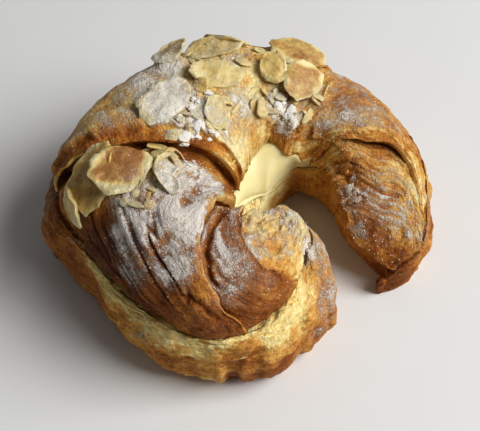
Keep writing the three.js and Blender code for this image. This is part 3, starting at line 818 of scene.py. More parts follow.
# Where the lid is browner (above 0) or paler (below 0) than its layer, in the same terms. A few strokes paint
# shade instead: along the crease under the top layer's lip, and low on the front layer's left side.
LID_BROWNING_AND_SHADE = [
    # Painted shade: darker low on the front layer's outer left side.
    (233, 30, 205, 18, 10.0, 0.2),
    (270, 30, 285, 14, 5.0, -0.12),
    (264, 50, 272, 26, 7.0, 0.16),
    # Painted shade in the crease under the top layer's lip.
    (174, 96, 171, 128, 3.5, 0.22),
    (168, 148, 182, 128, 7.0, -0.25),
    # Painted shade along the crease under the top layer's lip, towards the outer edge.
    (176, 96, 182, 66, 5.0, 0.15),
    (125, 145, 90, 145, 9.0, -0.08),
    (300, 40, 320, 20, 7.0, -0.2),
    (272, 118, 296, 86, 7.0, -0.14),
    (278, 96, 286, 92, 3.0, 0.35),
    (246, 122, 228, 128, 3.0, -0.38),
    (128, 104, 96, 108, 9.0, -0.08),
    (22, 110, 10, 84, 7.0, -0.12),
    # Painted shade along the crease under the top layer's lip, towards the inner edge.
    (176, 96, 156, 130, 4.0, 0.12),
    (62, 140, 54, 120, 6.0, -0.04),
    (78, 165, 58, 150, 4.0, 0.16),
    (14, 66, 3, 48, 5.0, -0.28),
    (246, 128, 230, 136, 3.0, -0.2),
    (226, 128, 232, 112, 3.0, -0.2),
    (36, 132, 28, 144, 4.0, -0.16),
    (10, 130, -10, 160, 6.0, 0.12),
    (-20, 60, -14, 120, 4.0, 0.32),
    (90, 20, 140, 20, 14.0, 0.12),
    (184, 30, 200, 34, 6.0, -0.12),
]
# Where the lid is torn down to its crumb, in the same terms.
LID_CRUMB = [
    (58, 168, 44, 160, 2.5, 0.6),
    (40, 160, 28, 158, 3.0, 0.6),
    (150, 152, 132, 156, 3.5, 0.6),
    (276, 118, 264, 124, 2.5, 0.6),
]
# How brown each rolled layer of the lid is, from the slim tip: 0 is pale crumb and 1 is nearly burnt.
LAYER_BAKE = (0.44, 0.47, 0.31, 0.66, 0.59, 0.31)
BASE_BAKE = 0.46
GOLDEN_LIP_BAKE = 0.24
UNDER_LIP_BAKE = 0.5
PASTE_BAKE = 0.2
LIP_WIDTH_WAVES = [(0.4, 5, 80)]
# Where the base's wall is browner or paler: the angles, how softly they start, and by how much. The first
# stretch, darker on the left side, is painted shade.
WALL_BROWNING_AND_SHADE = [(150, 205, 25, 0.14), (222, 254, 10, -0.15), (264, 277, 7, 0.12)]


def sugar_at(points, upward):
    """How much icing sugar lies at places in metres, given how far the surface there faces up."""
    drift = np.maximum(cover(points, LID_SUGAR, lid_spot), cover(points, BASE_SUGAR, base_outline))
    uneven = 0.4 * layered_noise(points, 0.006, seed=51)
    return np.clip(np.maximum(drift, SUGAR_EVERYWHERE) * (1 + uneven), 0, 1) * rise(upward, -0.15, 0.45)


def lid_finish(points, facts):
    """The lid's browning, with painted shade in its valleys, hollows and creases, and its sugar and crumb at
    each point.
    """
    layer, sweep, to_lip = facts["layer"].astype(int), facts["sweep"], facts["to_lip"]
    near_lip = rise(to_lip, 6, 4.5) * (layer == SHEETED_LAYER)
    lip_width = mix(0.5, 2.6, rise(sweep, 84, 108)) * (1 + bumps(LIP_WIDTH_WAVES, facts["v"]))
    golden_lip = (1 - smooth(to_lip / lip_width)) * (layer == FRONT_LAYER) * np.where(lip_width > 1, 1, 0.35)
    turned_under = rise(facts["nose"], 0.35, 0.55)

    # The browning strokes include painted shade along the top layer's crease and low on the front layer's
    # left side.
    bake_and_shade = np.array(LAYER_BAKE)[layer] + sum(stroke_covers(points, LID_BROWNING_AND_SHADE, lid_spot))
    # Random blotches, and painted shade: darker down in the valleys between the ridges and paler on their
    # tops.
    bake_and_shade += 0.14 * layered_noise(points, 0.013, seed=61) - 0.09 * (facts["height"] + 0.8)
    bake_and_shade += near_lip * (0.28 * facts["stripe"] + 0.05)
    bake_and_shade = mix(bake_and_shade, GOLDEN_LIP_BAKE, 0.8 * golden_lip)
    # Painted shade: browner in the hollows beside the lips, under the ledge and in the swirl's groove.
    bake_and_shade = mix(bake_and_shade, np.where(layer == TIP_LAYER, 0.48, 0.6), 0.8 * facts["hollow"])
    bake_and_shade = mix(bake_and_shade, PASTE_BAKE, 0.7 * facts["paste"])
    bake_and_shade = mix(bake_and_shade, UNDER_LIP_BAKE, turned_under * (sweep <= 180))
    crumb = np.where(sweep > 180, rise(facts["angle"], 4, 16), cover(points, LID_CRUMB, lid_spot))

    valley = np.where(layer == TIP_LAYER, 1.4, 1.9)
    caught = mix(0.2, 1.15, smooth(1.1 + facts["height"] / valley))
    sugar = sugar_at(points, outward(points)[..., 2]) * caught * (1 - 0.8 * turned_under)
    sugar = sugar * (1 - 0.9 * facts["hollow"]) * (1 - 0.6 * near_lip) * (1 - 0.4 * golden_lip)
    sugar = sugar * (1 + bumps(SUGAR_STREAKS, facts["u"], facts["v"]))
    sugar = sugar * (1 + 0.35 * layered_noise(points, 0.0035, seed=82, octaves=2))
    return {"bake_and_shade": bake_and_shade, "crumb": crumb, "sugar": sugar}


def base_finish(points, facts):
    """The base's browning, with painted shade in its low spots and on its left side and painted light on its
    inner lip, and its sugar and crumb at each point.
    """
    angle, lap = facts["angle"], facts["lap"]
    # Random blotches, and painted shade: darker where the surface lies low.
    bake_and_shade = BASE_BAKE + 0.11 * layered_noise(points, 0.014, seed=65) - 0.07 * facts["height"]
    bake_and_shade += 0.25 * rise(angle, -12, -20)
    # The first stretch, on the left side, is painted shade.
    bake_and_shade += sum(amount * window(angle, *stretch) for *stretch, amount in WALL_BROWNING_AND_SHADE)
    # Under the custard the inner wall is pale pastry, and painted light makes it paler still near the sill,
    # where the lid's overhang shades it.
    pale_lip = mix(0.03, 0.34, rise(lap, 3.85, 4.55))
    inner_wall = mix(0.42, pale_lip, rise(angle, 59, 68)) + 0.05 * layered_noise(points, 0.01, seed=66)
    bake_and_shade = mix(bake_and_shade, inner_wall, rise(lap, 3, 3.3) * rise(angle, 10, 30))
    bake_and_shade = mix(bake_and_shade, 0.3, 0.6 * rise(angle, 270, 285) * rise(lap, 1.4, 1.8) * (lap < 3))
    bake_and_shade = mix(bake_and_shade, 0.2, 0.8 * facts["pale"] * (lap < 3))
    return {"bake_and_shade": bake_and_shade, "crumb": facts["crumb"], "sugar": sugar_at(points, outward(points)[..., 2])}


# ---- Blender helpers -----------------------------------------------------------------------------------

MERGE_DISTANCE = 0.000002


def deselect():
    bpy.ops.object.select_all(action="DESELECT")


def activate(piece):
    """Makes a piece the active one, and the only one that is selected."""
    deselect()
    bpy.context.view_layer.objects.active = piece
    piece.select_set(True)


def edit(piece, *steps):
    """Runs edit-mode steps, each (operator, settings), on all of a piece."""
    activate(piece)
    bpy.ops.object.mode_set(mode="EDIT")
    bpy.ops.mesh.select_all(action="SELECT")
    for operator, settings in steps:
        operator(**settings)
    bpy.ops.object.mode_set(mode="OBJECT")


def close_up(piece):
    """Merges a piece's seam and poles, turns its faces outwards and shades it smooth."""
    edit(
        piece,
        (bpy.ops.mesh.remove_doubles, {"threshold": MERGE_DISTANCE}),
        (bpy.ops.mesh.normals_make_consistent, {"inside": False}),
    )
    bpy.ops.object.shade_smooth()


def finish_with(piece, kind, **settings):
    """Adds a modifier to a piece and applies it."""
    activate(piece)
    modifier = piece.modifiers.new(kind.title(), kind)
    for name, value in settings.items():
        setattr(modifier, name, value)
    bpy.ops.object.modifier_apply(modifier=modifier.name)


def subdivide(piece, levels, kind="CATMULL_CLARK"):
    finish_with(piece, "SUBSURF", levels=levels, render_levels=levels, subdivision_type=kind)


def points_of(piece):
    points = np.empty(len(piece.data.vertices) * 3)
    piece.data.vertices.foreach_get("co", points)
    return points.reshape(-1, 3)


def move_points(piece, points):
    piece.data.vertices.foreach_set("co", np.asarray(points, float).ravel())
    piece.data.update()


def normals_of(piece):
    normals = np.empty(len(piece.data.vertices) * 3)
    piece.data.vertex_normals.foreach_get("vector", normals)
    return normals.reshape(-1, 3)


def note(piece, **values):
    """Writes named numbers onto a piece's points, for its material to read."""
    for name, value in values.items():
        attribute = piece.data.attributes.get(name) or piece.data.attributes.new(name, "FLOAT", "POINT")
        full = np.broadcast_to(np.asarray(value, np.float32).ravel(), len(piece.data.vertices))
        attribute.data.foreach_set("value", np.ascontiguousarray(full))


def write_flow(piece, flow):
    """Writes each point's coordinates across and along its layers, in millimetres, into the UV map "flow"."""
    corners = np.empty(len(piece.data.loops), np.int32)
    piece.data.loops.foreach_get("vertex_index", corners)
    maps = piece.data.uv_layers
    uv = maps[0] if maps else maps.new()
    uv.name = "flow"
    uv.data.foreach_set("uv", flow[corners].astype(np.float32).ravel())


def seamed(rows):
    """Rows of values round a piece, with the first of each again at its end, where the grid's seam is."""
    return np.concatenate([rows, rows[:, :1]], 1)


def shell_of(name, grid, flow, facts=None, finish=None):
    """A closed piece over a grid of points whose rows each run once round it. flow holds its coordinates
    across and along its layers, in millimetres, and a finish function turns facts into its browning and the
    like."""
    rows = np.pad(np.arange(len(grid)), CAP_ROWS, mode="edge")
    grid = closed_ends(grid, CAP_BULGE)
    grid[..., 2] = np.maximum(grid[..., 2], 0)
    values = finish(grid, {key: value[rows] for key, value in facts.items()}) if finish else {}
    bpy.ops.mesh.primitive_grid_add(x_subdivisions=grid.shape[1], y_subdivisions=len(grid) - 1, size=0.1)
    piece = bpy.context.object
    piece.name = name
    piece.data.name = name
    move_points(piece, seamed(grid))
    note(piece, **{key: seamed(value) for key, value in values.items()})
    turned = seamed(np.stack(flow, -1)[rows])
    turned[:, -1] = 2 * turned[:, -2] - turned[:, -3]
    write_flow(piece, turned.reshape(-1, 2))
    close_up(piece)
    return piece


def joined_copies(name, models, places, shares=()):
    """One piece made of copies of model pieces, each turned and placed by a 4x4 matrix. models are (points,
    faces) pairs, taken in turn, and shares are named numbers, one for each copy."""
    points, faces, copies, start = [], [], [], 0
    for index, matrix in enumerate(places):
        model, sides = models[index % len(models)]
        points.append(model @ matrix[:3, :3].T + matrix[:3, 3])
        faces += [[corner + start for corner in side] for side in sides]
        copies.append(np.full(len(model), index))
        start += len(model)
    mesh = bpy.data.meshes.new(name)
    mesh.from_pydata(np.concatenate(points), [], faces)
    piece = bpy.data.objects.new(name, mesh)
    bpy.context.scene.collection.objects.link(piece)
    copies = np.concatenate(copies)
    note(piece, **{key: np.asarray(value)[copies] for key, value in dict(shares).items()})
    close_up(piece)
    return piece


def model_of(piece):
    """A piece's points and faces, and the piece itself removed."""
    model = points_of(piece), [list(face.vertices) for face in piece.data.polygons]
    bpy.data.objects.remove(piece)
    return model


def kept(piece, material, slot, *nodes):
    """Gives a finished piece its material and its place in the frame."""
    piece.data.materials.clear()
    piece.data.materials.append(material)
    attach(piece, "root")
    if nodes:
        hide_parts(*nodes)
    return piece


# ---- Materials -----------------------------------------------------------------------------------------


class Nodes:
    """Adds nodes to a node tree and joins them up."""

    def __init__(self, tree):
        self.tree = tree
        tree.nodes.clear()

    def add(self, kind, inputs=(), **settings):
        """A node of a kind. inputs are (socket, value or another node's output) pairs."""
        node = self.tree.nodes.new(kind)
        for name, value in settings.items():
            setattr(node, name, value)
        for socket, value in dict(inputs).items():
            if isinstance(value, bpy.types.NodeSocket):
                self.tree.links.new(value, node.inputs[socket])
            else:
                node.inputs[socket].default_value = value
        return node

    def group(self, tree, inputs):
        """A group's outputs by name. inputs are its sockets and what goes into them."""
        outputs = self.add("ShaderNodeGroup", inputs, node_tree=tree).outputs
        return {socket.name: socket for socket in outputs}

    def math(self, operation, *values):
        return self.add("ShaderNodeMath", enumerate(values), operation=operation).outputs[0]

    def total(self, start, *parts):
        """start plus each (value, weight) part, with the values measured from 0.5."""
        for value, weight in parts:
            offset = self.math("MULTIPLY_ADD", value, weight, -0.5 * weight)
            start = self.math("ADD", start, offset)
        return start

    def noise(self, vector, scale, detail=3.0, roughness=0.55):
        inputs = {"Vector": vector, "Scale": scale, "Detail": detail, "Roughness": roughness}
        return self.add("ShaderNodeTexNoise", inputs).outputs["Fac"]

    def stretched(self, vector, scale):
        return self.add("ShaderNodeMapping", {"Vector": vector, "Scale": scale}).outputs[0]

    def ramp(self, value, stops):
        """A colour ramp through (position, colour) stops."""
        node = self.add("ShaderNodeValToRGB", {"Fac": value})
        elements = node.color_ramp.elements
        while len(elements) < len(stops):
            elements.new(0.5)
        for element, (position, colour) in zip(elements, stops):
            element.position = position
            element.color = (*colour[:3], 1)
        return node.outputs[0]

    def step(self, value, low, high):
        """An eased step from 0 at low to 1 at high."""
        inputs = {"Value": value, "From Min": low, "From Max": high}
        return self.add("ShaderNodeMapRange", inputs, interpolation_type="SMOOTHSTEP").outputs[0]

    def blend(self, share, first, second):
        inputs = {"Factor": share, 6: first, 7: second}
        return self.add("ShaderNodeMix", inputs, data_type="RGBA").outputs[2]

    def attribute(self, name):
        return self.add("ShaderNodeAttribute", attribute_name=name).outputs["Fac"]

    def object_coordinates(self):
        return self.add("ShaderNodeTexCoord").outputs["Object"]

    def uv(self, name):
        return self.add("ShaderNodeUVMap", uv_map=name).outputs[0]


def shader_group(name, inputs, outputs, build):
    """A shader node group with named sockets. build gets its nodes and inputs, and returns its outputs."""
    group = bpy.data.node_groups.get(name)
    if group:
        return group
    group = bpy.data.node_groups.new(name, "ShaderNodeTree")
    nodes = Nodes(group)
    for socket, kind, default in inputs:
        made = group.interface.new_socket(socket, in_out="INPUT", socket_type="NodeSocket" + kind)
        if default is not None:
            made.default_value = default
    for socket, kind in outputs:
        group.interface.new_socket(socket, in_out="OUTPUT", socket_type="NodeSocket" + kind)
    given = nodes.add("NodeGroupInput").outputs
    nodes.add("NodeGroupOutput", build(nodes, given))
    return group


def crust_group(look):
    """Baked pastry: its colour from how brown it is, a value that also carries painted shade, with streaks
    and thin sheets' edges along its layers, and pale crumb where it is cut or torn."""

    def build(nodes, given):
        spot, flow = given["Place"], given["Flow"]
        streaks = nodes.noise(nodes.stretched(flow, (0.8, 0.09, 1)), 1.0, 4, 0.6)
        blotches = nodes.noise(spot, 170, 4, 0.6)
        specks = nodes.noise(spot, 1400, 2, 0.6)
        pores = nodes.noise(spot, 620, 3, 0.6)
        sheets = nodes.math("MULTIPLY", nodes.noise(nodes.stretched(flow, (0.3, 0.12, 1)), 1.0, 4, 0.62), 8)
        rise = nodes.math("FRACT", sheets)
        flakes = nodes.math("ADD", nodes.math("SUBTRACT", sheets, rise), nodes.step(rise, 0.72, 1))
        edge = nodes.math("MULTIPLY", nodes.step(rise, 0.6, 0.85), nodes.step(rise, 1, 0.85))
        tone = nodes.total(given["Bake"], (streaks, 0.35), (blotches, 0.75), (specks, 0.3), (pores, 0.4))
        tone = nodes.math("MULTIPLY_ADD", edge, 0.1, tone)
        stops = [
            (0.05, look.crumb_light),
            (0.27, look.golden),
            (0.45, look.amber),
            (0.66, look.brown),
            (1, look.dark),
        ]
        crust = nodes.ramp(tone, stops)
        strata = nodes.noise(nodes.stretched(flow, (1.0, 0.12, 1)), 1.0, 4, 0.65)
        softness = nodes.total(0.5, (strata, 2.0), (pores, 1.6), (specks, 0.7))
        crumb = nodes.ramp(softness, [(0.06, look.crumb_deep), (0.46, look.crumb), (0.88, look.crumb_light)])
        cut = nodes.step(nodes.total(given["Crumb"], (pores, 1.4), (blotches, 0.8)), 0.25, 0.75)
        lumps = nodes.total(0.5, (streaks, 0.7), (specks, 0.5), (blotches, 1.5), (pores, 1.3), (strata, 0.4))
        return {
            "Color": nodes.blend(cut, crust, crumb),
            "Height": nodes.math("MULTIPLY_ADD", flakes, 0.32, lumps),
            "Roughness": nodes.math("MULTIPLY_ADD", nodes.math("MAXIMUM", cut, pores), 0.45, 0.25),
        }

    inputs = [
        ("Bake", "Float", 0.5), ("Crumb", "Float", 0.0), ("Place", "Vector", None), ("Flow", "Vector", None),
    ]
    outputs = [("Color", "Color"), ("Height", "Float"), ("Roughness", "Float")]
    return shader_group("Baked crust", inputs, outputs, build)


def sugar_group(look):
    """Icing sugar over another colour: a thin veil with grains in it, closing to a crust where it lies
    thick."""

    def build(nodes, given):
        grains = nodes.noise(given["Place"], 2100, 2, 0.7)
        drifts = nodes.noise(given["Place"], 650, 3, 0.65)
        cover = nodes.total(given["Amount"], (grains, 1.9), (drifts, 1.4))
        thick = nodes.step(cover, 0.22, 0.92)
        veil = nodes.math("MULTIPLY", given["Amount"], 0.4)
        mask = nodes.math("MULTIPLY", nodes.math("MAXIMUM", thick, veil), 0.85)
        bare = given["Roughness"]
        rough = nodes.math("MULTIPLY_ADD", mask, nodes.math("SUBTRACT", 0.9, bare), bare)
        powder = nodes.blend(thick, (*look.sugar_shade, 1), (*look.sugar, 1))
        return {
            "Color": nodes.blend(mask, given["Color"], powder),
            "Height": nodes.math("MULTIPLY_ADD", mask, 0.8, given["Height"]),
            "Roughness": rough,
        }

    inputs = [
        ("Color", "Color", None), ("Height", "Float", 0.5), ("Roughness", "Float", 0.5),
        ("Amount", "Float", 0.0), ("Place", "Vector", None),
    ]
    outputs = [("Color", "Color"), ("Height", "Float"), ("Roughness", "Float")]
    return shader_group("Icing sugar", inputs, outputs, build)


def material_of(name, build):
    """A material. Its build function gets its nodes and the object coordinates, and returns the inputs of its
    Principled BSDF, a bump's height and the bump's depth in metres."""
    made = bpy.data.materials.get(name)
    if made:
        return made
    made = bpy.data.materials.new(name)
    made.use_nodes = True
    nodes = Nodes(made.node_tree)
    inputs, height, depth = build(nodes, nodes.object_coordinates())
    bump = nodes.add("ShaderNodeBump", {"Height": height, "Distance": depth, "Strength": 1.0})
    shader = nodes.add("ShaderNodeBsdfPrincipled", {**inputs, "Normal": bump.outputs[0]})
    nodes.add("ShaderNodeOutputMaterial", {"Surface": shader.outputs[0]})
    return made


def sugared(nodes, look, finish, spot):
    """A finish's colour, height and roughness with the piece's icing sugar on top."""
    inputs = {**finish, "Amount": nodes.attribute("sugar"), "Place": spot}
    return nodes.group(sugar_group(look), inputs)


def crust_material(look):
    def build(nodes, spot):
        crust = nodes.group(crust_group(look), {
            "Bake": nodes.attribute("bake_and_shade"),
            "Crumb": nodes.attribute("crumb"),
            "Place": spot,
            "Flow": nodes.uv("flow"),
        })
        top = sugared(nodes, look, crust, spot)
        inputs = {
            "Base Color": top["Color"],
            "Roughness": top["Roughness"],
            "Specular IOR Level": 0.13,
            "Subsurface Weight": 0.08,
            "Subsurface Radius": (1.0, 0.5, 0.2),
            "Subsurface Scale": 0.0012,
        }
        return inputs, top["Height"], 0.0006

    return material_of("Baked pastry", build)


def almond_material(look):
    def build(nodes, spot):
        grain = nodes.noise(spot, 700, 4, 0.65)
        patches = nodes.noise(spot, 260, 3, 0.6)
        rim = nodes.step(nodes.total(nodes.attribute("rim"), (grain, 0.4)), 0.76, 0.95)
        toast = nodes.total(nodes.attribute("toast"), (patches, 0.9), (grain, 0.5))
        stops = [(0.05, look.almond), (0.42, look.almond_golden), (0.85, look.almond_toasted)]
        flesh = nodes.ramp(toast, stops)
        finish = {
            "Color": nodes.blend(nodes.math("MULTIPLY", rim, 0.7), flesh, (*look.almond_rim, 1)),
            "Height": nodes.total(0.5, (grain, 1.2), (patches, 1.5)),
            "Roughness": nodes.math("MULTIPLY_ADD", grain, 0.4, 0.2),
        }
        top = sugared(nodes, look, finish, spot)
        inputs = {
            "Base Color": top["Color"],
            "Roughness": top["Roughness"],
            "Subsurface Weight": 0.3,
            "Subsurface Radius": (1.0, 0.7, 0.35),
            "Subsurface Scale": 0.0012,
        }
        return inputs, top["Height"], 0.0004

    return material_of("Flaked almond", build)


def custard_material(look):
    def build(nodes, spot):
        clouds = nodes.noise(spot, 130, 3, 0.5)
        fine = nodes.noise(spot, 900, 3, 0.6)
        tone = nodes.total(0.5, (clouds, 0.8), (fine, 0.25))
        inputs = {
            "Base Color": nodes.ramp(tone, [(0.2, look.custard_deep), (0.7, look.custard)]),
            "Roughness": nodes.math("MULTIPLY_ADD", clouds, 0.25, 0.3),
            "Subsurface Weight": 0.35,
            "Subsurface Radius": (1.0, 0.8, 0.4),
            "Subsurface Scale": 0.0025,
        }
        return inputs, nodes.math("MULTIPLY_ADD", fine, 0.3, clouds), 0.0003

    return material_of("Custard cream", build)


def sugar_material(look):
    def build(nodes, spot):
        fine = nodes.noise(spot, 1800, 2, 0.6)
        inputs = {
            "Base Color": nodes.ramp(fine, [(0.1, look.sugar_shade), (0.5, look.sugar)]),
            "Roughness": nodes.math("MULTIPLY_ADD", fine, 0.2, 0.75),
        }
        return inputs, fine, 0.0002

    return material_of("Icing sugar", build)


def floor_material(look):
    def build(nodes, spot):
        fine = nodes.noise(spot, 30, 2, 0.5)
        shade = tuple(0.97 * channel for channel in look.floor)
        inputs = {
            "Base Color": nodes.ramp(fine, [(0.0, shade), (1.0, look.floor)]),
            "Roughness": nodes.math("MULTIPLY_ADD", fine, 0.1, 0.7),
        }
        return inputs, fine, 0.0001

    return material_of("Pale floor", build)


# ---- Flaked almonds and scattered bits -----------------------------------------------------------------

# For each flaked almond: how toasted it is, how far it leans to the front and to the right in degrees, how
# far it is lifted off the lid in millimetres, and its share of the icing sugar that falls there.
FLAKES = [
    (0.6, 12, -4, 0.5, 0.6),
    (0.82, 20, -12, 0.5, 0.5),
    (0.2, 6, 8, 0.3, 1.0),
    (0.4, 10, -10, 0.2, 0.5),
    (0.2, 14, 6, 0.3, 0.9),
    (0.12, 12, -4, 0.4, 1.3),
    (0.1, 8, 6, 0.3, 1.1),
    (0.2, 10, 4, 0.5, 0.8),
    (0.35, 12, -6, 0.5, 0.7),
    (0.3, -6, 4, 0.0, 0.9),
    (0.6, 8, -12, 0.4, 1.0),
    (0.62, 12, 4, 0.9, 0.5),
    (0.66, 10, 10, 0.5, 0.45),
    (0.36, 12, -14, 0.4, 0.6),
]
FLAKE_SPREAD = 1.06
FLAKE_THICKENING = 1.15
FLAKE_CAMBER = 0.006
# Where a flake is broken off straight: the way each break faces, in radians, and how far out it is.
FLAKE_BREAKS = [(0, 0.88), (2.3, 0.92), (4.6, 0.96)]
RESTING_SHARE = 12  # the percentage of a flake's points that press into what it rests on
SETTLE_REACH = 0.02  # in metres
SETTLE_EVERY = 7  # only one in so many of a flake's points is tried
LAND_ABOVE = 0.012  # where a landing starts from, in metres
LAND_AROUND = 0.0012  # how far round it the ground is felt for, in metres
SEED = 12

# Rows of noise: over a flake's outline, where one turn round it is about 6 units, or over its millimetres.
FLAKE_OUTLINE = [(0.1, 1 / 1.3, 1 / 1.3, 0), (0.06, 1 / 3.5, 1 / 3.5, 1), (0.045, 1 / 9, 1 / 9, 5)]
FLAKE_CURL = [(1.2, 1 / 0.8, 1 / 0.8, 4)]
FLAKE_RIM = [(0.28, 1 / 1.6, 1 / 1.6, 8)]
FLAKE_WAVES = [(0.6, 6, 6, 2), (0.35, 2.4, 2.4, 3), (0.14, 1, 1, 6)]
FLAKE_TOASTING = [(0.12, 4, 4, 7)]

# Models of what is scattered are one unit long. For each kind of broken almond: its corners and its width.
BIT_SHAPES = [(5, 0.62), (6, 0.36), (7, 0.75)]
BIT_THICKNESS = 0.11
BIT_CAMBER = 0.3
BIT_OUTLINE = [(0.5, 1 / 3, 1 / 3, 0)]
BIT_WAVES = [(0.12, 1 / 2.5, 1 / 2.5, 9)]
TORN_SHAPES = 4
TORN_WIDTH = 0.6
TORN_CAMBER = 0.35
TORN_LIFT = 0.06
TORN_ENDS = [(0.16, 1 / 3, 1 / 3, 0)]
TORN_SIDES = [(0.12, 1 / 5, 1 / 5, 5)]
TORN_WAVES = [(0.14, 1 / 2, 1 / 2, 9)]
TYPICAL_FLAKE = 0.00625  # the length in metres at which a torn flake has its own thickness
LUMP_SHAPES = 3
LUMP_SCALE = (1.1, 0.8, 0.34)
LUMP_BUMPS = [(0.5, 1 / 2.4, 1 / 2.4, 1 / 2.4, 0), (0.45, 1 / 6, 1 / 6, 1 / 6, 5)]


def flake_frame(points):
    """A flake's middle and its three axes, the last of them standing up out of it."""
    middle = points.mean(0)
    axes = np.linalg.svd(points - middle, full_matrices=False)[2]
    if axes[2][2] < 0:
        axes[2] = -axes[2]
    axes[1] = np.cross(axes[2], axes[0])
    return middle, axes


def shape_flake(piece, seed, toast, lean):
    """Gives a plain plate the broken outline, waves and raised rim of a cut almond, and leans it."""
    subdivide(piece, 3, "SIMPLE")
    points = points_of(piece)
    middle, axes = flake_frame(points)
    x, y, up = ((points - middle) @ axes.T).T / MM
    width, depth = x / np.abs(x).max(), y / np.abs(y).max()
    out, turn = np.hypot(width, depth), np.arctan2(depth, width)
    around = np.cos(turn), np.sin(turn)
    edge = 1 + bumps(FLAKE_OUTLINE, *around, seed=seed)
    for facing, reach in FLAKE_BREAKS:
        edge = np.minimum(edge, reach / np.maximum(np.cos(turn - seed - facing), 0.3))
    grow = mix(1, edge, out**2) * FLAKE_SPREAD
    level = -FLAKE_CAMBER * (x**2 + y**2)
    thick = (up - level) * FLAKE_THICKENING * np.sqrt(np.clip(1.02 - out**8, 0.02, 1))
    wave = bumps(FLAKE_WAVES, x, y, seed=seed) + out**3 * bumps(FLAKE_CURL, *around, seed=seed)
    wave += 0.5 * rise(out, 0.7, 0.9)
    shaped = np.stack([x * grow, y * grow, level + thick + wave], -1) @ axes * MM
    forward, sideways = lean
    tip = Euler((math.radians(forward), math.radians(sideways), 0)).to_matrix()
    move_points(piece, middle + shaped @ np.array(tip).T)
    rim = out + bumps(FLAKE_RIM, *around, seed=seed) - 0.06
    flesh = toast * (1 - 0.8 * rise(rim, 0.66, 0.91))
    note(piece, rim=rim, toast=flesh + bumps(FLAKE_TOASTING, x, y, seed=seed))
    subdivide(piece, 1)


def settle(piece, trees, away, lift):
    """Moves a flake along the way its plate faces until it rests on the pieces in search trees, and then
    lifts it a little."""
    points = points_of(piece)
    gaps = []
    for spot in points[::SETTLE_EVERY]:
        start = Vector(spot + away * SETTLE_REACH)
        hits = [tree.ray_cast(start, Vector(-away))[3] for tree in trees]
        gaps += [min(hit for hit in hits if hit) - SETTLE_REACH] if any(hits) else []
    move_points(piece, points + away * (lift * MM - np.percentile(gaps, RESTING_SHARE)))


def dusted(piece, share=1.0):
    """Writes the icing sugar that lies on a piece, or a share of it."""
    note(piece, sugar=share * sugar_at(points_of(piece), normals_of(piece)[:, 2]))


def ground_under(pieces):
    """A search tree over pieces, for landing others on them."""
    corners, faces, start = [], [], 0
    for piece in pieces:
        points = points_of(piece)
        corners.append(points)
        faces += [[corner + start for corner in face.vertices] for face in piece.data.polygons]
        start += len(points)
    return BVHTree.FromPolygons(np.concatenate(corners).tolist(), faces)


def land(tree, spot, direction):
    """Where a line from above the spot meets the ground, and the way the ground faces there."""
    down = -Vector(direction).normalized()
    sideways = down.orthogonal().normalized()
    across = down.cross(sideways)
    above = Vector(spot) - down * LAND_ABOVE
    hits = [
        tree.ray_cast(above + (sideways * a + across * b) * LAND_AROUND, down)
        for a, b in ((0, 0), (1, 0), (-1, 0), (0, 1), (0, -1))
    ]
    if hits[0][0] is None:
        return None
    facing = sum((hit[1] for hit in hits if hit[1]), Vector())
    return hits[0][0], facing.normalized()


def turned_place(spot, up, turn, size, tilt=(0, 0)):
    """A 4x4 matrix that stands a model on a spot, turned in degrees and scaled."""
    up = Vector(up).normalized()
    side = up.orthogonal().normalized()
    forward = side * math.cos(math.radians(turn)) + up.cross(side) * math.sin(math.radians(turn))
    lean = (up + forward * tilt[0] + up.cross(forward) * tilt[1]).normalized()
    forward = (forward - lean * forward.dot(lean)).normalized()
    matrix = np.eye(4)
    matrix[:3, :3] = np.column_stack([forward, lean.cross(forward), lean]) * np.asarray(size)
    matrix[:3, 3] = spot
    return matrix


def lid_direction(sweep, angle):
    """The way the lid's mean surface faces, near enough to drop things onto it."""
    turn, way = math.radians(sweep), math.radians(angle)
    return Vector((math.cos(turn) * math.cos(way), math.cos(turn) * math.sin(way), math.sin(turn)))


SMALLEST_RADIUS = 12  # millimetres, so that a spread in degrees stays small at the blunt end
SHORTEST_SHARE = 0.45  # of the longest one's length
LOWEST_LANDING = 0.01  # metres above the floor
GRAIN_TRIES = 20  # spots tried for each grain
GRAIN_SWEEPS = (15, 165)
STRAY_GRAINS = 0.04
# Broken almonds on the lid: round an (angle, sweep), how far they spread in millimetres, how many there are
# and how long the longest of them is.
ALMOND_BITS = [
    (178, 104, 6, 8, 10),
    (186, 96, 6, 8, 9),
    (200, 88, 7, 7, 8),
    (205, 72, 5, 4, 7),
    (190, 66, 6, 5, 8),
    (137, 113, 7, 9, 7),
    (118, 104, 6, 6, 9),
    (108, 76, 7, 8, 9),
    (122, 76, 5, 5, 8),
    (158, 108, 5, 6, 6),
    (84, 122, 6, 6, 9),
    (66, 118, 6, 5, 8),
    (80, 76, 7, 7, 9),
    (92, 70, 6, 4, 8),
    (137, 152, 3, 1, 4),
    (62, 100, 4, 3, 8),
]
# Lumps of sugar and crumb, in the same terms.
SUGAR_LUMPS = [
    (161, 112, 5, 14, 5.0),
    (148, 120, 5, 10, 4.6),
    (72, 132, 5, 16, 4.6),
    (137, 106, 6, 10, 4.2),
    (188, 116, 6, 6, 2.6),
    (140, 84, 7, 5, 2.4),
    (112, 84, 7, 4, 2.6),
]
# Torn flakes of pastry along the slim arm's inner edge, in the same terms.
PASTRY_FLAKES = [
    (4, 158, 9, 6, 6),
    (30, 140, 7, 6, 6),
    (60, 140, 6, 5, 5),
]


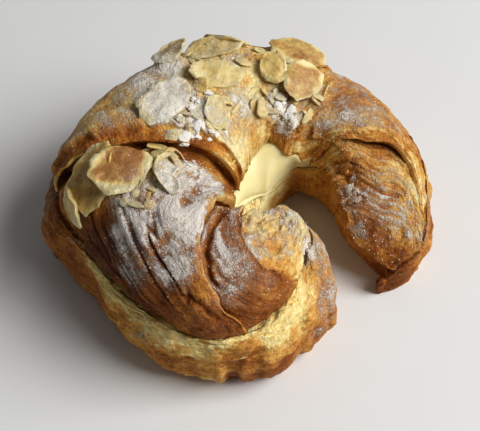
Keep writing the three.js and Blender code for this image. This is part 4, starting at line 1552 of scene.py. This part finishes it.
def scattered(clusters, tree, chance, lift):
    """Places for things round clusters on the lid: (spot, facing, length in metres) for each one that
    lands."""
    for angle, sweep, spread, count, longest in clusters:
        radius = float(lid_spot(np.array([float(angle)]), np.array([float(sweep)]))[0][0])
        for _ in range(count):
            away = chance.normal(0, spread * 0.5, 2)
            spin = angle + math.degrees(away[0] / max(radius, SMALLEST_RADIUS))
            across = sweep + away[1] / PERIMETER * 180
            length = longest * MM * chance.uniform(SHORTEST_SHARE, 1.0)
            spot = place(np.array([spin]), *lid_spot(np.array([spin]), np.array([across])))[0]
            found = land(tree, spot, lid_direction(across, spin))
            if found and found[0].z > LOWEST_LANDING:
                yield found[0] + found[1] * lift, found[1], length


def scattered_places(clusters, chance, lift, tilt):
    """The places of things scattered on the lid, each turned and tilted by chance."""
    tree = ground_under([bpy.data.objects["baked_lid"]])
    return [
        turned_place(spot, facing, chance.uniform(0, 360), length, chance.normal(0, tilt, 2))
        for spot, facing, length in scattered(clusters, tree, chance, lift)
    ]


def grain_spots(count, chance):
    """Spots on the lid where loose grains fall, more of them where the sugar lies thick."""
    tries = GRAIN_TRIES * count
    angles = chance.uniform(*LID_RUNS, tries)
    sweeps = chance.uniform(*GRAIN_SWEEPS, tries)
    spots = place(angles, *lid_spot(angles, sweeps))
    chances = sugar_at(spots, np.ones(len(spots))) ** 1.5 + STRAY_GRAINS
    return spots[chance.uniform(size=len(spots)) < chances][:count]


def almond_bit(kind, sides, width):
    """A model of a broken almond, one unit long."""
    deselect()
    bpy.ops.mesh.primitive_cylinder_add(
        vertices=sides, radius=0.5, depth=BIT_THICKNESS, end_fill_type="TRIFAN"
    )
    piece = bpy.context.object
    close_up(piece)
    points = points_of(piece) * (1, width, 1)
    points[:, :2] *= 1 + bumps(BIT_OUTLINE, *points[:, :2].T, seed=kind)[:, None]
    move_points(piece, points)
    subdivide(piece, 1, "SIMPLE")
    points = points_of(piece)
    points[:, 2] += bumps(BIT_WAVES, *points[:, :2].T, seed=kind) - BIT_CAMBER * points[:, 0] ** 2
    move_points(piece, points)
    subdivide(piece, 1)
    return model_of(piece)


def pastry_flake(kind, thickness):
    """A model of a torn flake of pastry, one unit long."""
    deselect()
    bpy.ops.mesh.primitive_grid_add(x_subdivisions=9, y_subdivisions=6, size=1)
    piece = bpy.context.object
    x, y = points_of(piece)[:, :2].T
    x = x + bumps(TORN_ENDS, x, y, seed=kind)
    y = TORN_WIDTH * y + bumps(TORN_SIDES, x, y, seed=kind)
    height = bumps(TORN_WAVES, x, y, seed=kind) - TORN_CAMBER * (y * y + 0.6 * x * x) + TORN_LIFT
    move_points(piece, np.stack([x, y, height], -1))
    finish_with(piece, "SOLIDIFY", thickness=thickness / TYPICAL_FLAKE, offset=0)
    return model_of(piece)


def sugar_lump(kind):
    """A model of a lump of sugar, one unit across."""
    deselect()
    bpy.ops.mesh.primitive_ico_sphere_add(subdivisions=3, radius=0.5)
    piece = bpy.context.object
    points = points_of(piece)
    grow = 1 + bumps(LUMP_BUMPS, *points.T, seed=kind)
    move_points(piece, points * grow[:, None] * LUMP_SCALE)
    return model_of(piece)


# ---- What a user would change --------------------------------------------------------------------------


def colour(name, description, default):
    return FloatVectorProperty(
        name=name, description=description, default=default, subtype="COLOR", min=0, max=1
    )


class CroissantLook(bpy.types.PropertyGroup):
    """The colours of the croissant and its stage."""

    crumb: colour("Crumb", "Soft inside of the pastry", (0.92, 0.71, 0.29))
    crumb_light: colour("Light crumb", "Raised threads of the crumb", (0.92, 0.8, 0.42))
    crumb_deep: colour("Deep crumb", "Pores of the crumb", (0.62, 0.38, 0.08))
    golden: colour("Golden crust", "Lightly baked crust", (0.76, 0.46, 0.13))
    amber: colour("Amber crust", "Evenly baked crust", (0.58, 0.262, 0.052))
    brown: colour("Brown crust", "Well baked crust", (0.36, 0.12, 0.022))
    dark: colour("Dark crust", "Crust that is nearly burnt", (0.12, 0.03, 0.006))
    sugar: colour("Icing sugar", "Icing sugar in the light", (0.78, 0.745, 0.69))
    sugar_shade: colour("Packed sugar", "Icing sugar that has soaked up some butter", (0.68, 0.55, 0.44))
    custard: colour("Custard", "Custard cream", (0.9, 0.82, 0.47))
    custard_deep: colour("Deep custard", "Custard cream in its hollows", (0.86, 0.74, 0.36))
    almond: colour("Almond", "Untoasted almond", (0.76, 0.64, 0.32))
    almond_golden: colour("Golden almond", "Lightly toasted almond", (0.7, 0.5, 0.17))
    almond_toasted: colour("Toasted almond", "Well toasted almond", (0.38, 0.17, 0.05))
    almond_rim: colour("Almond rim", "Pale edge of an almond", (0.8, 0.71, 0.42))
    floor: colour("Floor", "Floor under the croissant", (0.8, 0.8, 0.79))


class CroissantSizes(bpy.types.PropertyGroup):
    """Sizes and counts that may be changed."""

    grain: FloatProperty(
        name="Sugar grain", description="Width of a loose grain of sugar", default=0.00042, unit="LENGTH"
    )
    grains: IntProperty(name="Grains", description="Loose grains of sugar", default=1600)
    flake_thickness: FloatProperty(
        name="Pastry flake", description="Thickness of a torn flake of pastry", default=0.0004, unit="LENGTH"
    )
    lens: FloatProperty(name="Lens", description="Focal length of the camera", default=90)
    distance: FloatProperty(
        name="Camera distance", description="From the camera to its target", default=0.42, unit="LENGTH"
    )
    elevation: FloatProperty(
        name="Camera elevation", description="Height of the view", default=math.radians(52), subtype="ANGLE"
    )


# ---- Operators -----------------------------------------------------------------------------------------

CAMERA_TARGET = (-0.00008, -0.00484, 0.024)
SENSOR_WIDTH = 36
NEAREST_SEEN = 0.01
WORLD_LIGHT = 0.13
FLOOR_SIZE = 6
KEY_LIGHT_SPOT = (1.04, -0.18, 1.0)  # from the croissant's middle
KEY_LIGHT_SIZE = 1.0
KEY_LIGHT_WATTS = 22.4


class CROISSANT_OT_base(bpy.types.Operator):
    """Bakes the base, with its folds, its band of crumb and its cut face"""

    bl_idname = "croissant.base"
    bl_label = "Base"

    def execute(self, context):
        grid, facts = base_grid()
        piece = shell_of("baked_base", grid, (facts["u"], facts["v"]), facts, base_finish)
        kept(piece, crust_material(context.scene.croissant_look), "base_crust", "croissant_base")
        return {"FINISHED"}


class CROISSANT_OT_lid(bpy.types.Operator):
    """Bakes the lid, with its rolled layers, lips and ridges"""

    bl_idname = "croissant.lid"
    bl_label = "Lid"

    def execute(self, context):
        grid, facts = lid_grid()
        piece = shell_of("baked_lid", grid, (facts["u"], facts["v"]), facts, lid_finish)
        kept(piece, crust_material(context.scene.croissant_look), "lid_crust", "croissant_lid")
        return {"FINISHED"}


class CROISSANT_OT_custard(bpy.types.Operator):
    """Fills the space between the base and the lid with custard"""

    bl_idname = "croissant.custard"
    bl_label = "Custard"

    def execute(self, context):
        grid = cream_grid()
        piece = shell_of("custard_filling", grid, (grid[..., 0], grid[..., 2]))
        subdivide(piece, 1)
        kept(piece, custard_material(context.scene.croissant_look), "custard", "custard_cream")
        return {"FINISHED"}


class CROISSANT_OT_flaked_almonds(bpy.types.Operator):
    """Shapes the flaked almonds over their solids"""

    bl_idname = "croissant.flaked_almonds"
    bl_label = "Flaked almonds"

    def execute(self, context):
        trees = [ground_under([bpy.data.objects["baked_lid"]])]
        for count, (node, settings) in enumerate(zip(FLAKE_NODES, FLAKES)):
            toast, forward, sideways, lift, sugar = settings
            mesh = frame["nodes"][node].data.copy()
            piece = bpy.data.objects.new(node.replace("almond_flake", "flaked_almond"), mesh)
            context.scene.collection.objects.link(piece)
            close_up(piece)
            away = flake_frame(points_of(piece))[1][2]
            shape_flake(piece, 10 * count + 3, toast, (forward, sideways))
            settle(piece, trees, away, lift)
            trees.append(ground_under([piece]))
            dusted(piece, sugar)
            kept(piece, almond_material(context.scene.croissant_look), "almond", node)
        return {"FINISHED"}


class CROISSANT_OT_almond_bits(bpy.types.Operator):
    """Scatters broken almonds over the lid"""

    bl_idname = "croissant.almond_bits"
    bl_label = "Broken almonds"

    def execute(self, context):
        chance = np.random.default_rng(SEED)
        models = [almond_bit(kind, *shape) for kind, shape in enumerate(BIT_SHAPES)]
        places = scattered_places(ALMOND_BITS, chance, 0.6 * MM, 0.28)
        piece = joined_copies("almond_bits", models, places, {"toast": chance.uniform(0, 0.5, len(places))})
        note(piece, rim=0.5)
        dusted(piece, 0.7)
        kept(piece, almond_material(context.scene.croissant_look), "almond")
        return {"FINISHED"}


class CROISSANT_OT_pastry_flakes(bpy.types.Operator):
    """Scatters torn flakes of pastry along the slim arm's inner edge"""

    bl_idname = "croissant.pastry_flakes"
    bl_label = "Pastry flakes"

    def execute(self, context):
        chance = np.random.default_rng(SEED + 1)
        thickness = context.scene.croissant_sizes.flake_thickness
        models = [pastry_flake(kind, thickness) for kind in range(TORN_SHAPES)]
        places = scattered_places(PASTRY_FLAKES, chance, 0.3 * MM, 0.35)
        baked = chance.uniform(0.3, 0.6, len(places))
        piece = joined_copies("pastry_flakes", models, places, {"bake_and_shade": baked})
        note(piece, crumb=0.0)
        write_flow(piece, points_of(piece)[:, :2] / MM)
        dusted(piece)
        kept(piece, crust_material(context.scene.croissant_look), "lid_crust")
        return {"FINISHED"}


class CROISSANT_OT_icing_sugar(bpy.types.Operator):
    """Drops lumps and loose grains of icing sugar on top"""

    bl_idname = "croissant.icing_sugar"
    bl_label = "Icing sugar"

    def execute(self, context):
        look, sizes = context.scene.croissant_look, context.scene.croissant_sizes
        chance = np.random.default_rng(SEED + 2)
        lid = bpy.data.objects["baked_lid"]
        lid_tree = ground_under([lid])
        lumps = [
            turned_place(spot, facing, chance.uniform(0, 360), length * chance.uniform(0.5, 1))
            for spot, facing, length in scattered(SUGAR_LUMPS, lid_tree, chance, 0.2 * MM)
        ]
        models = [sugar_lump(kind) for kind in range(LUMP_SHAPES)]
        kept(joined_copies("sugar_lumps", models, lumps), sugar_material(look), "lid_crust")

        deselect()
        bpy.ops.mesh.primitive_ico_sphere_add(subdivisions=1, radius=0.5)
        grain = model_of(context.object)
        toppings = [o for o in context.scene.objects if o.name.startswith(("flaked_almond", "almond_bits"))]
        tree = ground_under([lid, *toppings])
        places = []
        for spot in grain_spots(sizes.grains, chance):
            found = land(tree, spot, (0, 0, 1))
            if found:
                size = sizes.grain * chance.uniform(0.6, 1.4)
                places.append(turned_place(*found, chance.uniform(0, 360), size))
        kept(joined_copies("sugar_grains", [grain], places), sugar_material(look), "lid_crust")
        return {"FINISHED"}


class CROISSANT_OT_stage(bpy.types.Operator):
    """Sets the floor, the lights and the camera"""

    bl_idname = "croissant.stage"
    bl_label = "Stage"

    def execute(self, context):
        scene, look, sizes = context.scene, context.scene.croissant_look, context.scene.croissant_sizes
        deselect()
        bpy.ops.mesh.primitive_plane_add(size=FLOOR_SIZE)
        floor = context.object
        floor.name = "floor"
        floor.data.materials.append(floor_material(look))

        spot = Vector(KEY_LIGHT_SPOT)
        bpy.ops.object.light_add(type="AREA", location=(CAD_BOX[0] + CAD_BOX[1]) / 2 + spot)
        light = context.object
        light.name = "key_light"
        light.data.size = KEY_LIGHT_SIZE
        light.data.energy = KEY_LIGHT_WATTS
        light.rotation_euler = (-spot).to_track_quat("-Z", "Y").to_euler()

        back = Vector((0, -math.cos(sizes.elevation), math.sin(sizes.elevation)))
        bpy.ops.object.camera_add(location=Vector(CAMERA_TARGET) + back * sizes.distance)
        camera = context.object
        camera.rotation_euler = back.to_track_quat("Z", "Y").to_euler()
        camera.data.lens = sizes.lens
        camera.data.sensor_width = SENSOR_WIDTH
        camera.data.clip_start = NEAREST_SEEN
        scene.camera = camera

        world = bpy.data.worlds.new("Soft studio")
        scene.world = world
        world.use_nodes = True
        background = world.node_tree.nodes["Background"]
        background.inputs["Color"].default_value = (1, 1, 1, 1)
        background.inputs["Strength"].default_value = WORLD_LIGHT
        scene.view_settings.view_transform = "Standard"
        scene.view_settings.look = "Medium High Contrast"
        return {"FINISHED"}


STEPS = ["base", "lid", "custard", "flaked_almonds", "almond_bits", "pastry_flakes", "icing_sugar", "stage"]


class CROISSANT_PT_panel(bpy.types.Panel):
    """Lists the steps and what may be changed"""

    bl_label = "Almond croissant"
    bl_space_type = "VIEW_3D"
    bl_region_type = "UI"
    bl_category = "Croissant"

    def draw(self, context):
        for step in STEPS:
            self.layout.operator("croissant." + step)
        for settings in (context.scene.croissant_sizes, context.scene.croissant_look):
            for name in settings.__annotations__:
                self.layout.prop(settings, name)


CLASSES = (
    CroissantLook,
    CroissantSizes,
    CROISSANT_OT_base,
    CROISSANT_OT_lid,
    CROISSANT_OT_custard,
    CROISSANT_OT_flaked_almonds,
    CROISSANT_OT_almond_bits,
    CROISSANT_OT_pastry_flakes,
    CROISSANT_OT_icing_sugar,
    CROISSANT_OT_stage,
    CROISSANT_PT_panel,
)


def register():
    for made in CLASSES:
        bpy.utils.register_class(made)
    bpy.types.Scene.croissant_look = PointerProperty(type=CroissantLook)
    bpy.types.Scene.croissant_sizes = PointerProperty(type=CroissantSizes)


def unregister():
    del bpy.types.Scene.croissant_sizes
    del bpy.types.Scene.croissant_look
    for made in reversed(CLASSES):
        bpy.utils.unregister_class(made)


def main():
    register()
    for step in STEPS:
        getattr(bpy.ops.croissant, step)()


if __name__ == "__main__":
    main()
